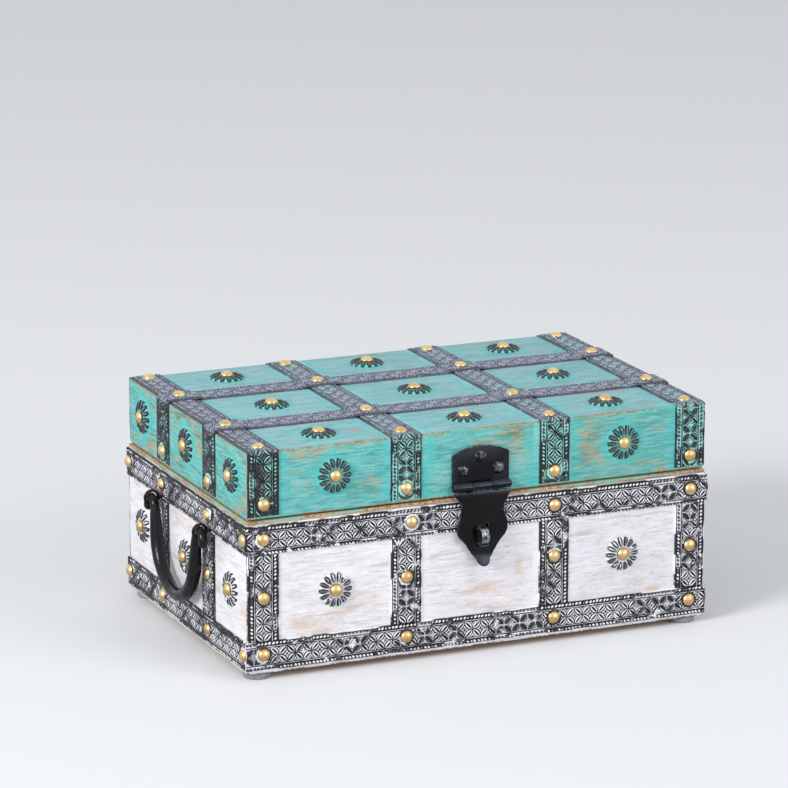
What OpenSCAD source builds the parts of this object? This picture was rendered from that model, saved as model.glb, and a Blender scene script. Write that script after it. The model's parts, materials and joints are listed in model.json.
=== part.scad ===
/* [Base] */
// Width of the wooden base
box_w = 252; // [230:1:300]
// Depth of the wooden base
box_d = 164; // [150:1:200]
// Height of the base from its underside to its rim
base_h = 78.3; // [70:0.1:100]
// Thickness of the walls of base and lid
wall_t = 8; // [7:0.5:12]
// Thickness of the floor board
floor_t = 4; // [3:0.5:8]
// Diameter of a bumper foot
foot_d = 14; // [8:0.5:16]
// Height of a bumper foot
foot_h = 3.5; // [2:0.5:8]
// Distance of a foot's middle from the edges of the base
foot_inset = 8.2; // [8:0.2:20]

/* [Lid] */
// Height of the lid
lid_h = 34; // [30:0.2:50]
// Thickness of the lid's top board
lid_top_t = 8; // [6:0.5:12]
// How far the lid's faces stand back from the faces of the base
lid_inset = 0.5; // [0.3:0.1:1]
// Gap between the closed lid and the rim
lid_gap = 0.8; // [0.2:0.1:0.9]

/* [Metal strips] */
// Thickness of the embossed metal
strip_t = 1; // [0.6:0.1:1.4]
// Width of the bands that go round the base
band_w = 15.2; // [13:0.2:17]
// Width of the straps
strap_w = 17; // [14:0.5:18]
// Bare wood above the top band
rim_bare = 2; // [1.8:0.1:3]
// Bare wood below the bottom band
foot_bare = 1.6; // [0.5:0.1:3]
// Bare wood below the straps of the lid
lid_bare = 1.5; // [1:0.1:2.5]
// Distance of the two inner straps from the middle of the front
inner_strap_x = 40.7; // [36:0.1:50]
// Distance of the side straps and the crossing straps from the middle
side_strap_y = 31.8; // [28:0.1:36]
// Length of the slope where a crossing strap climbs over another
ramp_l = 2.2; // [1.5:0.1:3]

/* [Nails and rosettes] */
// Diameter of a nail's head
nail_d = 6.8; // [5:0.1:7.4]
// Height of a nail's head
nail_h = 2.4; // [1.5:0.1:3]
// Diameter of a rosette
rosette_d = 17.5; // [14:0.5:20]
// Height of a rosette under its nail
rosette_h = 2; // [1.2:0.1:2.5]
// Number of petals
petals = 14; // [10:1:18]
// Height of the lid's low nails above the end of their strap
low_nail_rise = 5.9; // [5:0.2:9]
// Distance of the lid's outer top nails from its front and back edges
top_nail_inset = 7; // [5:0.2:12]
// Distance of the outer nails on the sides from the corner
corner_nail_inset = 2.6; // [2.4:0.1:8]

/* [Hasp] */
// How far the hasp sits left of the middle
hasp_shift = 0.4; // [0:0.1:2]
// Width of the hasp's plate and barrel
hasp_w = 31; // [28:0.5:34]
// Height of the plate above the hasp's axis
plate_h = 20.6; // [18.5:0.1:22]
// Rise of the plate's arched top
plate_crown = 4; // [3:0.1:5]
// Thickness of the hasp's metal
hasp_t = 1.2; // [0.8:0.1:1.4]
// Height of the hasp's axis above the lid's lower edge
hasp_rise = 4.6; // [3.5:0.1:5.5]
// Length of the strap from the axis to its tip
hasp_l = 40.7; // [39:0.1:44]
// Width of the strap's waist
waist_w = 23.4; // [20:0.2:25]
// Width of the strap's shoulders
shoulder_w = 27.8; // [26:0.2:30]
// Radius of the strap's tip
tip_r = 3.6; // [3:0.1:5]
// How far the strap stands off the band
hasp_clear = 1; // [0.8:0.1:1.5]
// How far the strap's bend stands out
hasp_bulge = 1.2; // [0.6:0.1:2]
// How far the strap's tip turns out
hasp_flare = 3.4; // [1.5:0.1:4]
// Outside diameter of the hasp's barrel
hasp_barrel_d = 4.2; // [3.8:0.1:4.6]
// Diameter of the hasp's pin
hasp_pin_d = 2.2; // [1.8:0.1:2.4]
// How far the hasp's pin stands out of the barrel
hasp_pin_out = 0.7; // [0.3:0.1:1.5]
// Diameter of the hasp's screw heads
hasp_screw_d = 6.2; // [5:0.1:6.6]
// Height of the hasp's screw heads
hasp_screw_h = 1.3; // [0.8:0.1:1.8]
// Distance of the lower screws from the middle of the plate
low_screw_x = 9.6; // [8:0.1:10.5]
// Height of the lower screws above the axis
low_screw_z = 8.2; // [7.2:0.1:9]
// Height of the upper screw above the axis
high_screw_z = 14.7; // [14:0.1:16]

/* [Staple] */
// How far the staple sits left of the hasp's middle
staple_shift = 0.7; // [0:0.1:1]
// Width of the staple's metal
staple_w = 4; // [3:0.2:5]
// Thickness of the staple's metal
staple_t = 1.1; // [0.8:0.1:1.3]
// Height of the staple
staple_h = 9.2; // [8.6:0.1:9.6]
// How far the staple stands out of the strap
staple_out = 6; // [5.8:0.1:8]
// Depth of the staple's legs in the wood
staple_depth = 6; // [4:0.5:7]
// Distance of the staple's middle below the hasp's axis
staple_drop = 25; // [24:0.2:26]
// Room between the staple and the strap's slot
slot_room = 1.2; // [1:0.1:1.5]

/* [Handles] */
// Height of the handle's pivot above the lower edge of the top band
pivot_rise = 1.5; // [1.4:0.1:2.9]
// Distance of the pivot from the side bands
pivot_out = 5.5; // [5.3:0.1:7]
// Radius of the handle's round grip at the middle of its bar
grip_r = 27; // [24:0.5:28]
// Diameter of the grip's bar
grip_bar_d = 7.2; // [5.5:0.1:8]
// Diameter of the bar in the hooks
hook_bar_d = 5; // [4.4:0.1:5.2]
// Radius of the hooks at the middle of the bar
hook_r = 4.5; // [4.3:0.1:5]
// Length of the straight arms
arm_l = 15.8; // [14:0.1:20]
// Outward lean of the arms in degrees
arm_lean = 10; // [6:1:12]
// Turn of the hooks in degrees
hook_turn = 180; // [160:5:220]
// How far the handles hang towards the front
handle_shift = 2; // [0:0.1:2.2]
// Diameter of the eyes' wire
eye_wire_d = 1.5; // [1.2:0.1:1.6]
// Diameter of the eyes' shanks
eye_shank_d = 1.8; // [1.7:0.1:2.2]
// Room between the hook and its eye
eye_room = 0.3; // [0.2:0.05:0.4]
// Depth of the eyes' shanks in the wood
eye_depth = 6; // [4:0.5:6.5]

/* [Hinges] */
// Width of a hinge
hinge_w = 25; // [20:0.5:30]
// Distance of the hinges from the middle
hinge_x = 79; // [72:0.5:86]
// Reach of a hinge's leaf into the wood
leaf_reach = 6; // [5:0.1:6.8]
// Thickness of a hinge's leaf
leaf_t = 1; // [0.8:0.1:1.2]
// Outside diameter of a hinge's barrel
barrel_d = 4.2; // [3.6:0.1:4.2]
// Diameter of a hinge's pin
hinge_pin_d = 2; // [1.6:0.1:2.2]
// Diameter of a hinge's screw heads
hinge_screw_d = 3.2; // [2.4:0.1:4]

/* [Hidden] */
$fn = 48;

// Clearances
pin_seat = 0.02;
pin_run = 0.05;
mortise_gap = 0.1;
shank_gap = 0.05;
barrel_gap = 0.3;
knuckle_gap = 0.3;
strap_gap = 0.3;
overrun = 1;

// Heights, from the surface that the box stands on
under_z = foot_h;
rim_z = under_z + base_h;
lid_z = rim_z + lid_gap;
top_z = lid_z + lid_h;
band_low_z = under_z + foot_bare;
band_high_z = rim_z - rim_bare - band_w;
panel_z = (band_low_z + band_w + band_high_z) / 2;
low_band_nail_share = 0.54;
high_band_nail_share = 0.51;
low_nail_z = band_low_z + low_band_nail_share * band_w;
high_nail_z = band_high_z + high_band_nail_share * band_w;
pivot_z = band_high_z + pivot_rise;
lid_nail_z = lid_z + lid_bare + low_nail_rise;
lid_rosette_share = 0.532;
lid_rosette_z = lid_z + lid_rosette_share * lid_h;

// Hasp, its axis lies in front of the lid
lid_w = box_w - 2 * lid_inset;
lid_d = box_d - 2 * lid_inset;
hasp_axis_z = lid_z + hasp_rise;
hasp_axis_out = hasp_barrel_d / 2 + barrel_gap;
band_face_out = strip_t + lid_inset;
strap_back = hasp_clear + band_face_out - hasp_axis_out;
strap_face = strap_back + hasp_t;
hasp_third = hasp_w / 3;
staple_face = strap_face + staple_out;
staple_r = staple_h / 2;
staple_x = -hasp_shift - staple_shift;

// Hinges, their axis lies behind the base
barrel_out = barrel_d / 2 + barrel_gap;
hinge_axis_z = rim_z + lid_gap / 2;
hinge_third = hinge_w / 3;

// The origin lies under the middle of the whole part, so the box stands a little back of it
front_reach = hasp_axis_out - lid_inset + staple_face;
back_reach = max(barrel_out + barrel_d / 2, rosette_h + nail_h);
set_y = (front_reach - back_reach) / 2;

// Places across the faces
corner_x = (box_w - strap_w) / 2;
lid_corner_x = (lid_w - strap_w) / 2;
base_strap_xs = [-corner_x, -inner_strap_x, inner_strap_x, corner_x];
lid_strap_xs = [-lid_corner_x, -inner_strap_x, inner_strap_x, lid_corner_x];
panel_x = (corner_x + inner_strap_x) / 2;
panel_y = (side_strap_y + strap_w / 2 + box_d / 2) / 2;
side_strap_ys = [-side_strap_y, side_strap_y];
panel_ys = [-panel_y, 0, panel_y];
side_nail_ys = [-box_d / 2 + corner_nail_inset, -side_strap_y, side_strap_y, box_d / 2 - corner_nail_inset];
top_nail_ys = [-lid_d / 2 + top_nail_inset, -side_strap_y, side_strap_y, lid_d / 2 - top_nail_inset];

// Hand work: the middle nails of the front sit a little high, one nail of its top band a little right
mid_nail_lift_shares = [0, 0.024, 0.043, 0];
high_nail_slip_shares = [0, 0.011, 0, 0];

// Handle, in the plane of the hooks
hook_bar_r = hook_bar_d / 2;
grip_bar_r = grip_bar_d / 2;
grip_end = 90 - arm_lean;
arm_end_y = grip_r * sin(grip_end) + arm_l * sin(arm_lean);
arm_end_drop = hook_r - hook_r * sin(arm_lean);
hook_y = arm_end_y + hook_r * cos(arm_lean);
grip_drop = arm_end_drop + arm_l * cos(arm_lean) - grip_r * cos(grip_end);
eye_r = hook_bar_r + eye_room + eye_wire_d / 2;
shank_r = eye_shank_d / 2;

// Places a child on a face with its +Z pointing out
module on_front(x, y, z) translate([x, y, z]) rotate([90, 0, 0]) children();
module on_back(x, y, z) translate([x, y, z]) rotate([-90, 0, 0]) children();
module on_left(x, y, z) translate([x, y, z]) rotate([0, -90, 0]) children();
module on_right(x, y, z) translate([x, y, z]) rotate([0, 90, 0]) children();
module placed() translate([0, set_y, 0]) children();

// A block from its low corner to its high corner
module block(low, high) translate(low) cube(high - low);

// A round bar along X
module bar_x(r, from_x, to_x) translate([from_x, 0, 0]) rotate([0, 90, 0]) cylinder(r=r, h=to_x - from_x);

// A cap of a sphere on the XY plane
module cap(d, h) {
    ball_r = (d * d / 4 + h * h) / (2 * h);
    intersection() {
        translate([0, 0, h - ball_r]) sphere(r=ball_r);
        cylinder(d=d + h, h=h + overrun);
    }
}

module nail() cap(nail_d, nail_h);

// A domed flower with round petal ends, a thin edge and a flat seat for its nail
edge_share = 0.25;
crown_share = 1.25;

module rosette() {
    petal_r = PI * rosette_d / 2 / petals;
    petal_at = rosette_d / 2 - petal_r;
    rise = (crown_share - edge_share) * rosette_h;
    ball_r = (rosette_d * rosette_d / 4 + rise * rise) / (2 * rise);
    intersection() {
        translate([0, 0, crown_share * rosette_h - ball_r]) sphere(r=ball_r);
        linear_extrude(rosette_h) {
            circle(r=petal_at);
            for (i = [0:petals - 1]) {
                rotate(i * 360 / petals) translate([petal_at, 0]) circle(r=petal_r);
            }
        }
    }
}

// Wood of the base
module base_floor() {
    color("tan") placed()
        block([-box_w / 2, -box_d / 2, under_z], [box_w / 2, box_d / 2, under_z + floor_t]);
}

module staple_legs(extra) {
    for (side = [-1, 1]) {
        translate([0, 0, hasp_axis_z - staple_drop + side * (staple_r - staple_t / 2)])
            block(
                [staple_x - staple_w / 2 - extra, -box_d / 2 - front_reach + staple_r, -staple_t / 2 - extra],
                [staple_x + staple_w / 2 + extra, -box_d / 2 + staple_depth + extra, staple_t / 2 + extra]
            );
    }
}

module base_front_wall() {
    color("whitesmoke") placed() difference() {
        block([-box_w / 2, -box_d / 2, under_z + floor_t], [box_w / 2, -box_d / 2 + wall_t, rim_z]);
        staple_legs(mortise_gap);
    }
}

module hinge_mortise(low_z, high_z) {
    for (side = [-1, 1]) {
        block(
            [side * hinge_x - hinge_w / 2 - mortise_gap, box_d / 2 - leaf_reach - mortise_gap, low_z],
            [side * hinge_x + hinge_w / 2 + mortise_gap, box_d / 2 + overrun, high_z]
        );
    }
}

module base_back_wall() {
    color("whitesmoke") placed() difference() {
        block([-box_w / 2, box_d / 2 - wall_t, under_z + floor_t], [box_w / 2, box_d / 2, rim_z]);
        hinge_mortise(rim_z - leaf_t, rim_z + overrun);
    }
}

// The shanks of the two eyes of the left handle, made thicker by extra
module eye_shanks(extra) {
    for (side = [-1, 1]) {
        translate([0, side * hook_y - handle_shift, pivot_z])
            bar_x(shank_r + extra, -box_w / 2 - strip_t - pivot_out + eye_r, -box_w / 2 + eye_depth + extra);
    }
}

module left_side_wall() {
    difference() {
        block(
            [-box_w / 2, -box_d / 2 + wall_t, under_z + floor_t],
            [-box_w / 2 + wall_t, box_d / 2 - wall_t, rim_z]
        );
        eye_shanks(shank_gap);
    }
}

module base_left_wall() color("whitesmoke") placed() left_side_wall();
module base_right_wall() color("whitesmoke") placed() mirror([1, 0, 0]) left_side_wall();

module base_feet() {
    color("silver") placed()
        for (x = [-1, 1], y = [-1, 1]) {
            translate([x * (box_w / 2 - foot_inset), y * (box_d / 2 - foot_inset), 0])
                cylinder(d=foot_d, h=foot_h);
        }
}

// Bands of the base: the front and back ones cover the ends of the side ones
module front_band(low_z) {
    block(
        [-box_w / 2 - strip_t, -box_d / 2 - strip_t, low_z],
        [box_w / 2 + strip_t, -box_d / 2, low_z + band_w]
    );
}

module side_band(low_z) {
    block([-box_w / 2 - strip_t, -box_d / 2, low_z], [-box_w / 2, box_d / 2, low_z + band_w]);
}

module top_band_front() {
    color("dimgray") placed() difference() {
        front_band(band_high_z);
        staple_legs(mortise_gap);
    }
}

module top_side_band() {
    difference() {
        side_band(band_high_z);
        eye_shanks(shank_gap);
    }
}

module top_band_back() color("dimgray") placed() mirror([0, 1, 0]) front_band(band_high_z);
module top_band_left() color("dimgray") placed() top_side_band();
module top_band_right() color("dimgray") placed() mirror([1, 0, 0]) top_side_band();
module bottom_band_front() color("dimgray") placed() front_band(band_low_z);
module bottom_band_back() color("dimgray") placed() mirror([0, 1, 0]) front_band(band_low_z);
module bottom_band_left() color("dimgray") placed() side_band(band_low_z);
module bottom_band_right() color("dimgray") placed() mirror([1, 0, 0]) side_band(band_low_z);

// Upright straps of the base, between the bands
module front_straps() {
    for (x = base_strap_xs) {
        block(
            [x - strap_w / 2, -box_d / 2 - strip_t, band_low_z + band_w],
            [x + strap_w / 2, -box_d / 2, band_high_z]
        );
    }
}

module side_straps() {
    for (y = side_strap_ys) {
        block(
            [-box_w / 2 - strip_t, y - strap_w / 2, band_low_z + band_w],
            [-box_w / 2, y + strap_w / 2, band_high_z]
        );
    }
}

module base_straps_front() color("gray") placed() front_straps();
module base_straps_back() color("gray") placed() mirror([0, 1, 0]) front_straps();
module base_straps_left() color("gray") placed() side_straps();
module base_straps_right() color("gray") placed() mirror([1, 0, 0]) side_straps();

module base_rosettes() {
    color("darkslategray") placed() {
        for (x = [-panel_x, panel_x]) on_front(x, -box_d / 2, panel_z) rosette();
        for (x = [-panel_x, 0, panel_x]) on_back(x, box_d / 2, panel_z) rosette();
        for (y = panel_ys) {
            on_left(-box_w / 2, y, panel_z) rosette();
            on_right(box_w / 2, y, panel_z) rosette();
        }
    }
}

module base_nails() {
    front_y = -box_d / 2 - strip_t;
    side_x = -box_w / 2 - strip_t;
    color("goldenrod") placed() {
        for (i = [0:3]) {
            x = base_strap_xs[i];
            on_front(x + high_nail_slip_shares[i] * box_w, front_y, high_nail_z) nail();
            on_front(x, front_y, panel_z + mid_nail_lift_shares[i] * base_h) nail();
            on_front(x, front_y, low_nail_z) nail();
            for (z = [low_nail_z, panel_z, high_nail_z]) on_back(x, -front_y, z) nail();
        }
        for (y = side_nail_ys, z = [low_nail_z, high_nail_z]) {
            on_left(side_x, y, z) nail();
            on_right(-side_x, y, z) nail();
        }
        for (y = side_strap_ys) {
            on_left(side_x, y, panel_z) nail();
            on_right(-side_x, y, panel_z) nail();
        }
        for (x = [-panel_x, panel_x]) on_front(x, -box_d / 2 - rosette_h, panel_z) nail();
        for (x = [-panel_x, 0, panel_x]) on_back(x, box_d / 2 + rosette_h, panel_z) nail();
        for (y = panel_ys) {
            on_left(-box_w / 2 - rosette_h, y, panel_z) nail();
            on_right(box_w / 2 + rosette_h, y, panel_z) nail();
        }
    }
}

// The arched staple that the strap of the hasp drops over
module staple() {
    arch_y = -box_d / 2 - front_reach + staple_r;
    color("silver") placed() {
        staple_legs(0);
        translate([staple_x - staple_w / 2, arch_y, hasp_axis_z - staple_drop]) rotate([90, 0, 90])
            linear_extrude(staple_w) difference() {
                circle(r=staple_r);
                circle(r=staple_r - staple_t);
                translate([0, -staple_r - overrun]) square([staple_r + overrun, staple_h + 2 * overrun]);
            }
    }
}

// Wire eyes with shanks that carry the left handle
module left_eyes() {
    eye_shanks(0);
    for (side = [-1, 1]) {
        translate([-box_w / 2 - strip_t - pivot_out, side * hook_y - handle_shift, pivot_z])
            rotate([90, 0, 0]) rotate_extrude() translate([eye_r, 0]) circle(d=eye_wire_d);
    }
}

module handle_eyes_left() color("dimgray") placed() left_eyes();
module handle_eyes_right() color("dimgray") placed() mirror([1, 0, 0]) left_eyes();

// A bar's parts run a little into each other, with a step too small to see
bar_step = 0.04;
bar_run = 0.3;

// An arm of the left handle and its hook, on the +Y side
module handle_arm() {
    translate([grip_r * sin(grip_end), -grip_r * cos(grip_end), 0]) rotate([0, 0, -arm_lean])
        translate([0, -bar_run, 0]) rotate([-90, 0, 0])
            cylinder(r1=grip_bar_r - bar_step, r2=hook_bar_r - bar_step, h=arm_l + 2 * bar_run);
    translate([hook_y, grip_drop - hook_r, 0]) rotate([0, 0, 180 - arm_lean - hook_turn]) {
        rotate_extrude(angle=hook_turn) translate([hook_r, 0]) circle(r=hook_bar_r);
        translate([hook_r, 0, 0]) sphere(r=hook_bar_r - bar_step);
    }
}

module left_bail() {
    translate([-box_w / 2 - strip_t - pivot_out, -handle_shift, pivot_z - grip_drop]) rotate([90, 0, 90]) {
        rotate([0, 0, -90 - grip_end]) rotate_extrude(angle=2 * grip_end)
            translate([grip_r, 0]) circle(r=grip_bar_r);
        handle_arm();
        mirror([1, 0, 0]) handle_arm();
    }
}

module left_handle() color("black") placed() left_bail();
module right_handle() color("black") placed() mirror([1, 0, 0]) left_bail();

// Butt hinges let into the rim: the base has the two outer knuckles, the lid the middle one
module hinge_frame() {
    for (side = [-1, 1]) {
        translate([side * hinge_x, box_d / 2 + barrel_out, hinge_axis_z]) children();
    }
}

module hinge_screw_places() {
    for (side = [-1, 1]) {
        translate([side * hinge_third, -barrel_out - leaf_reach / 2, 0]) children();
    }
}

module hinge_leaves_base() {
    leaf_top = -lid_gap / 2;
    color("darkgoldenrod") placed() hinge_frame() difference() {
        union() {
            block(
                [-hinge_w / 2, -barrel_out - leaf_reach, leaf_top - leaf_t],
                [hinge_w / 2, -barrel_out, leaf_top]
            );
            for (side = [-1, 1]) {
                block(
                    [side * hinge_third - hinge_third / 2, -barrel_out, leaf_top - leaf_t],
                    [side * hinge_third + hinge_third / 2, 0, leaf_top]
                );
                bar_x(barrel_d / 2, side * hinge_third - hinge_third / 2, side * hinge_third + hinge_third / 2);
            }
        }
        bar_x(hinge_pin_d / 2 + pin_seat, -hinge_w, hinge_w);
        hinge_screw_places() translate([0, 0, leaf_top - leaf_t - overrun])
            cylinder(d=hinge_screw_d, h=leaf_t + 2 * overrun);
    }
}

module hinge_leaves_lid() {
    leaf_low = lid_gap / 2;
    knuckle_half = hinge_third / 2 - knuckle_gap;
    color("darkgoldenrod") placed() hinge_frame() difference() {
        union() {
            block(
                [-hinge_w / 2, -barrel_out - leaf_reach, leaf_low],
                [hinge_w / 2, -barrel_out - lid_inset, leaf_low + leaf_t]
            );
            block([-knuckle_half, -barrel_out - leaf_reach, leaf_low], [knuckle_half, 0, leaf_low + leaf_t]);
            bar_x(barrel_d / 2, -knuckle_half, knuckle_half);
        }
        bar_x(hinge_pin_d / 2 + pin_run, -hinge_w, hinge_w);
        hinge_screw_places() translate([0, 0, leaf_low - overrun])
            cylinder(d=hinge_screw_d, h=leaf_t + 2 * overrun);
    }
}

module hinge_pins() {
    color("gray") placed() hinge_frame() bar_x(hinge_pin_d / 2, -hinge_w / 2, hinge_w / 2);
}

module hinge_screws_base() {
    color("gold") placed() hinge_frame() hinge_screw_places()
        translate([0, 0, -lid_gap / 2 - leaf_t]) cylinder(d=hinge_screw_d, h=leaf_t);
}

module hinge_screws_lid() {
    color("gold") placed() hinge_frame() hinge_screw_places()
        translate([0, 0, lid_gap / 2]) cylinder(d=hinge_screw_d, h=leaf_t);
}

// Wood of the lid
wall_top_z = top_z - lid_top_t;

module lid_top() {
    color("mediumturquoise") placed()
        block([-lid_w / 2, -lid_d / 2, wall_top_z], [lid_w / 2, lid_d / 2, top_z]);
}

module lid_front_wall() {
    color("mediumturquoise") placed()
        block([-lid_w / 2, -lid_d / 2, lid_z], [lid_w / 2, -lid_d / 2 + wall_t, wall_top_z]);
}

module lid_back_wall() {
    color("mediumturquoise") placed() difference() {
        block([-lid_w / 2, lid_d / 2 - wall_t, lid_z], [lid_w / 2, lid_d / 2, wall_top_z]);
        hinge_mortise(lid_z - overrun, lid_z + leaf_t);
    }
}

module lid_side_wall() {
    block([-lid_w / 2, -lid_d / 2 + wall_t, lid_z], [-lid_w / 2 + wall_t, lid_d / 2 - wall_t, wall_top_z]);
}

module lid_left_wall() color("mediumturquoise") placed() lid_side_wall();
module lid_right_wall() color("mediumturquoise") placed() mirror([1, 0, 0]) lid_side_wall();

// A strap that runs up the front, over the top and down the back
module long_strap(x) {
    strap_low_z = lid_z + lid_bare;
    color("darkslategray") placed() difference() {
        block(
            [x - strap_w / 2, -lid_d / 2 - strip_t, strap_low_z],
            [x + strap_w / 2, lid_d / 2 + strip_t, top_z + strip_t]
        );
        block(
            [x - strap_w, -lid_d / 2, strap_low_z - overrun],
            [x + strap_w, lid_d / 2, top_z]
        );
    }
}

module lid_strap_1() long_strap(lid_strap_xs[0]);
module lid_strap_2() long_strap(lid_strap_xs[1]);
module lid_strap_3() long_strap(lid_strap_xs[2]);
module lid_strap_4() long_strap(lid_strap_xs[3]);

// Half the underside of a crossing strap, from the middle out, with its climbs over the long straps
function climb(x, lift) = [x, top_z + lift];
function underside_half() = [
    climb(inner_strap_x - strap_w / 2 - strap_gap - ramp_l, 0),
    climb(inner_strap_x - strap_w / 2 - strap_gap, strip_t),
    climb(inner_strap_x + strap_w / 2 + strap_gap, strip_t),
    climb(inner_strap_x + strap_w / 2 + strap_gap + ramp_l, 0),
    climb(lid_corner_x - strap_w / 2 - strap_gap - ramp_l, 0),
    climb(lid_corner_x - strap_w / 2 - strap_gap, strip_t),
    climb(lid_w / 2, strip_t),
    [lid_w / 2, lid_z + lid_bare]
];
function topside_half() = [
    for (i = [0:5]) underside_half()[i] + [0, strip_t],
    [lid_w / 2 + strip_t, top_z + 2 * strip_t],
    [lid_w / 2 + strip_t, lid_z + lid_bare]
];
function flipped(points) = [for (p = points) [-p[0], p[1]]];
function backwards(points) = [for (i = [len(points) - 1:-1:0]) points[i]];

// A strap that runs up one side, over the long straps and down the other side
module cross_strap(y) {
    color("darkslategray") placed() translate([0, y + strap_w / 2, 0]) rotate([90, 0, 0])
        linear_extrude(strap_w) polygon(concat(
            topside_half(),
            backwards(underside_half()),
            flipped(underside_half()),
            flipped(backwards(topside_half()))
        ));
}

module lid_cross_strap_front() cross_strap(-side_strap_y);
module lid_cross_strap_back() cross_strap(side_strap_y);

module lid_rosettes() {
    color("darkslategray") placed() {
        for (x = [-panel_x, 0, panel_x], y = panel_ys) translate([x, y, top_z]) rosette();
        for (x = [-panel_x, panel_x]) on_front(x, -lid_d / 2, lid_rosette_z) rosette();
        for (x = [-panel_x, 0, panel_x]) on_back(x, lid_d / 2, lid_rosette_z) rosette();
        for (y = panel_ys) {
            on_left(-lid_w / 2, y, lid_rosette_z) rosette();
            on_right(lid_w / 2, y, lid_rosette_z) rosette();
        }
    }
}

module lid_nails() {
    color("goldenrod") placed() {
        for (x = lid_strap_xs) {
            for (i = [0:3]) {
                crossed = i == 1 || i == 2;
                translate([x, top_nail_ys[i], top_z + (crossed ? 2 * strip_t : strip_t)]) nail();
            }
            on_front(x, -lid_d / 2 - strip_t, lid_nail_z) nail();
            on_back(x, lid_d / 2 + strip_t, lid_nail_z) nail();
        }
        for (y = side_strap_ys) {
            on_left(-lid_w / 2 - strip_t, y, lid_nail_z) nail();
            on_right(lid_w / 2 + strip_t, y, lid_nail_z) nail();
        }
        for (x = [-panel_x, 0, panel_x], y = panel_ys) translate([x, y, top_z + rosette_h]) nail();
        for (x = [-panel_x, panel_x]) on_front(x, -lid_d / 2 - rosette_h, lid_rosette_z) nail();
        for (x = [-panel_x, 0, panel_x]) on_back(x, lid_d / 2 + rosette_h, lid_rosette_z) nail();
        for (y = panel_ys) {
            on_left(-lid_w / 2 - rosette_h, y, lid_rosette_z) nail();
            on_right(lid_w / 2 + rosette_h, y, lid_rosette_z) nail();
        }
    }
}

// Hasp, drawn about its axis: X to the right, -Y out of the lid, Z up
module hasp_frame() translate([-hasp_shift, -lid_d / 2 - hasp_axis_out, hasp_axis_z]) children();

module plate_outline() {
    crown_r = (hasp_w * hasp_w / 4 + plate_crown * plate_crown) / (2 * plate_crown);
    intersection() {
        translate([-hasp_w / 2, 0]) square([hasp_w, plate_h]);
        translate([0, plate_h - crown_r]) circle(r=crown_r, $fn=160);
    }
}

module hasp_plate() {
    notch_half = hasp_third / 2 + knuckle_gap;
    color("black") placed() hasp_frame() difference() {
        union() {
            translate([0, hasp_axis_out, 0]) rotate([90, 0, 0]) linear_extrude(hasp_t) plate_outline();
            bar_x(hasp_barrel_d / 2, -hasp_w / 2, hasp_w / 2);
        }
        block(
            [-notch_half, -hasp_barrel_d, -hasp_barrel_d],
            [notch_half, hasp_barrel_d, hasp_barrel_d / 2 + knuckle_gap]
        );
        bar_x(hasp_pin_d / 2 + pin_seat, -hasp_w, hasp_w);
    }
}

module hasp_screw() {
    slot_w = hasp_screw_d / 8;
    slot_l = hasp_screw_d / 2;
    difference() {
        cap(hasp_screw_d, hasp_screw_h);
        for (turn = [0, 90]) {
            rotate(turn) translate([-slot_l / 2, -slot_w / 2, hasp_screw_h / 2])
                cube([slot_l, slot_w, hasp_screw_h]);
        }
    }
}

module hasp_screws() {
    face_y = hasp_axis_out - hasp_t;
    color("dimgray") placed() hasp_frame() {
        for (side = [-1, 1]) on_front(side * low_screw_x, face_y, low_screw_z) hasp_screw();
        on_front(0, face_y, high_screw_z) hasp_screw();
    }
}

module hasp_pin() {
    color("gray") placed() hasp_frame()
        bar_x(hasp_pin_d / 2, -hasp_w / 2 - hasp_pin_out, hasp_w / 2 + hasp_pin_out);
}

// Outline of the strap seen from the front, as shares of the way between two widths and of the length
barrel_to_waist_shares = [[1, 0.08], [0.65, 0.125], [0.2, 0.18], [0, 0.23]];
waist_to_shoulder_shares = [[0, 0.32], [0.3, 0.4], [0.82, 0.46], [1, 0.51], [0.95, 0.57]];
tip_to_shoulder_shares = [[0.87, 0.63], [0.57, 0.71], [0.13, 0.88]];

function side_points(shares, narrow, wide) = [
    for (s = shares) [(narrow + (wide - narrow) * s[0]) / 2, -s[1] * hasp_l]
];

module strap_outline() {
    tip_z = -hasp_l + tip_r;
    half = concat(
        [[hasp_w / 2, -hasp_barrel_d / 2 - knuckle_gap]],
        side_points(barrel_to_waist_shares, waist_w, hasp_w),
        side_points(waist_to_shoulder_shares, waist_w, shoulder_w),
        side_points(tip_to_shoulder_shares, 2 * tip_r, shoulder_w),
        [[tip_r, tip_z]]
    );
    polygon(concat(half, flipped(backwards(half))));
    translate([0, tip_z]) circle(r=tip_r);
}

// Side view of the strap: it bends out below the barrel and its tip turns out
bend_shares = [0.17, 0.33, 0.84];

module strap_profile() {
    top_z_in = -hasp_barrel_d / 4;
    back = [
        [-strap_back, top_z_in],
        [-strap_back - hasp_bulge, -bend_shares[0] * hasp_l],
        [-strap_back, -bend_shares[1] * hasp_l],
        [-strap_back, -bend_shares[2] * hasp_l],
        [-strap_back - hasp_flare, -hasp_l - overrun]
    ];
    polygon(concat(back, backwards([for (p = back) p - [hasp_t, 0]])));
}

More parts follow.
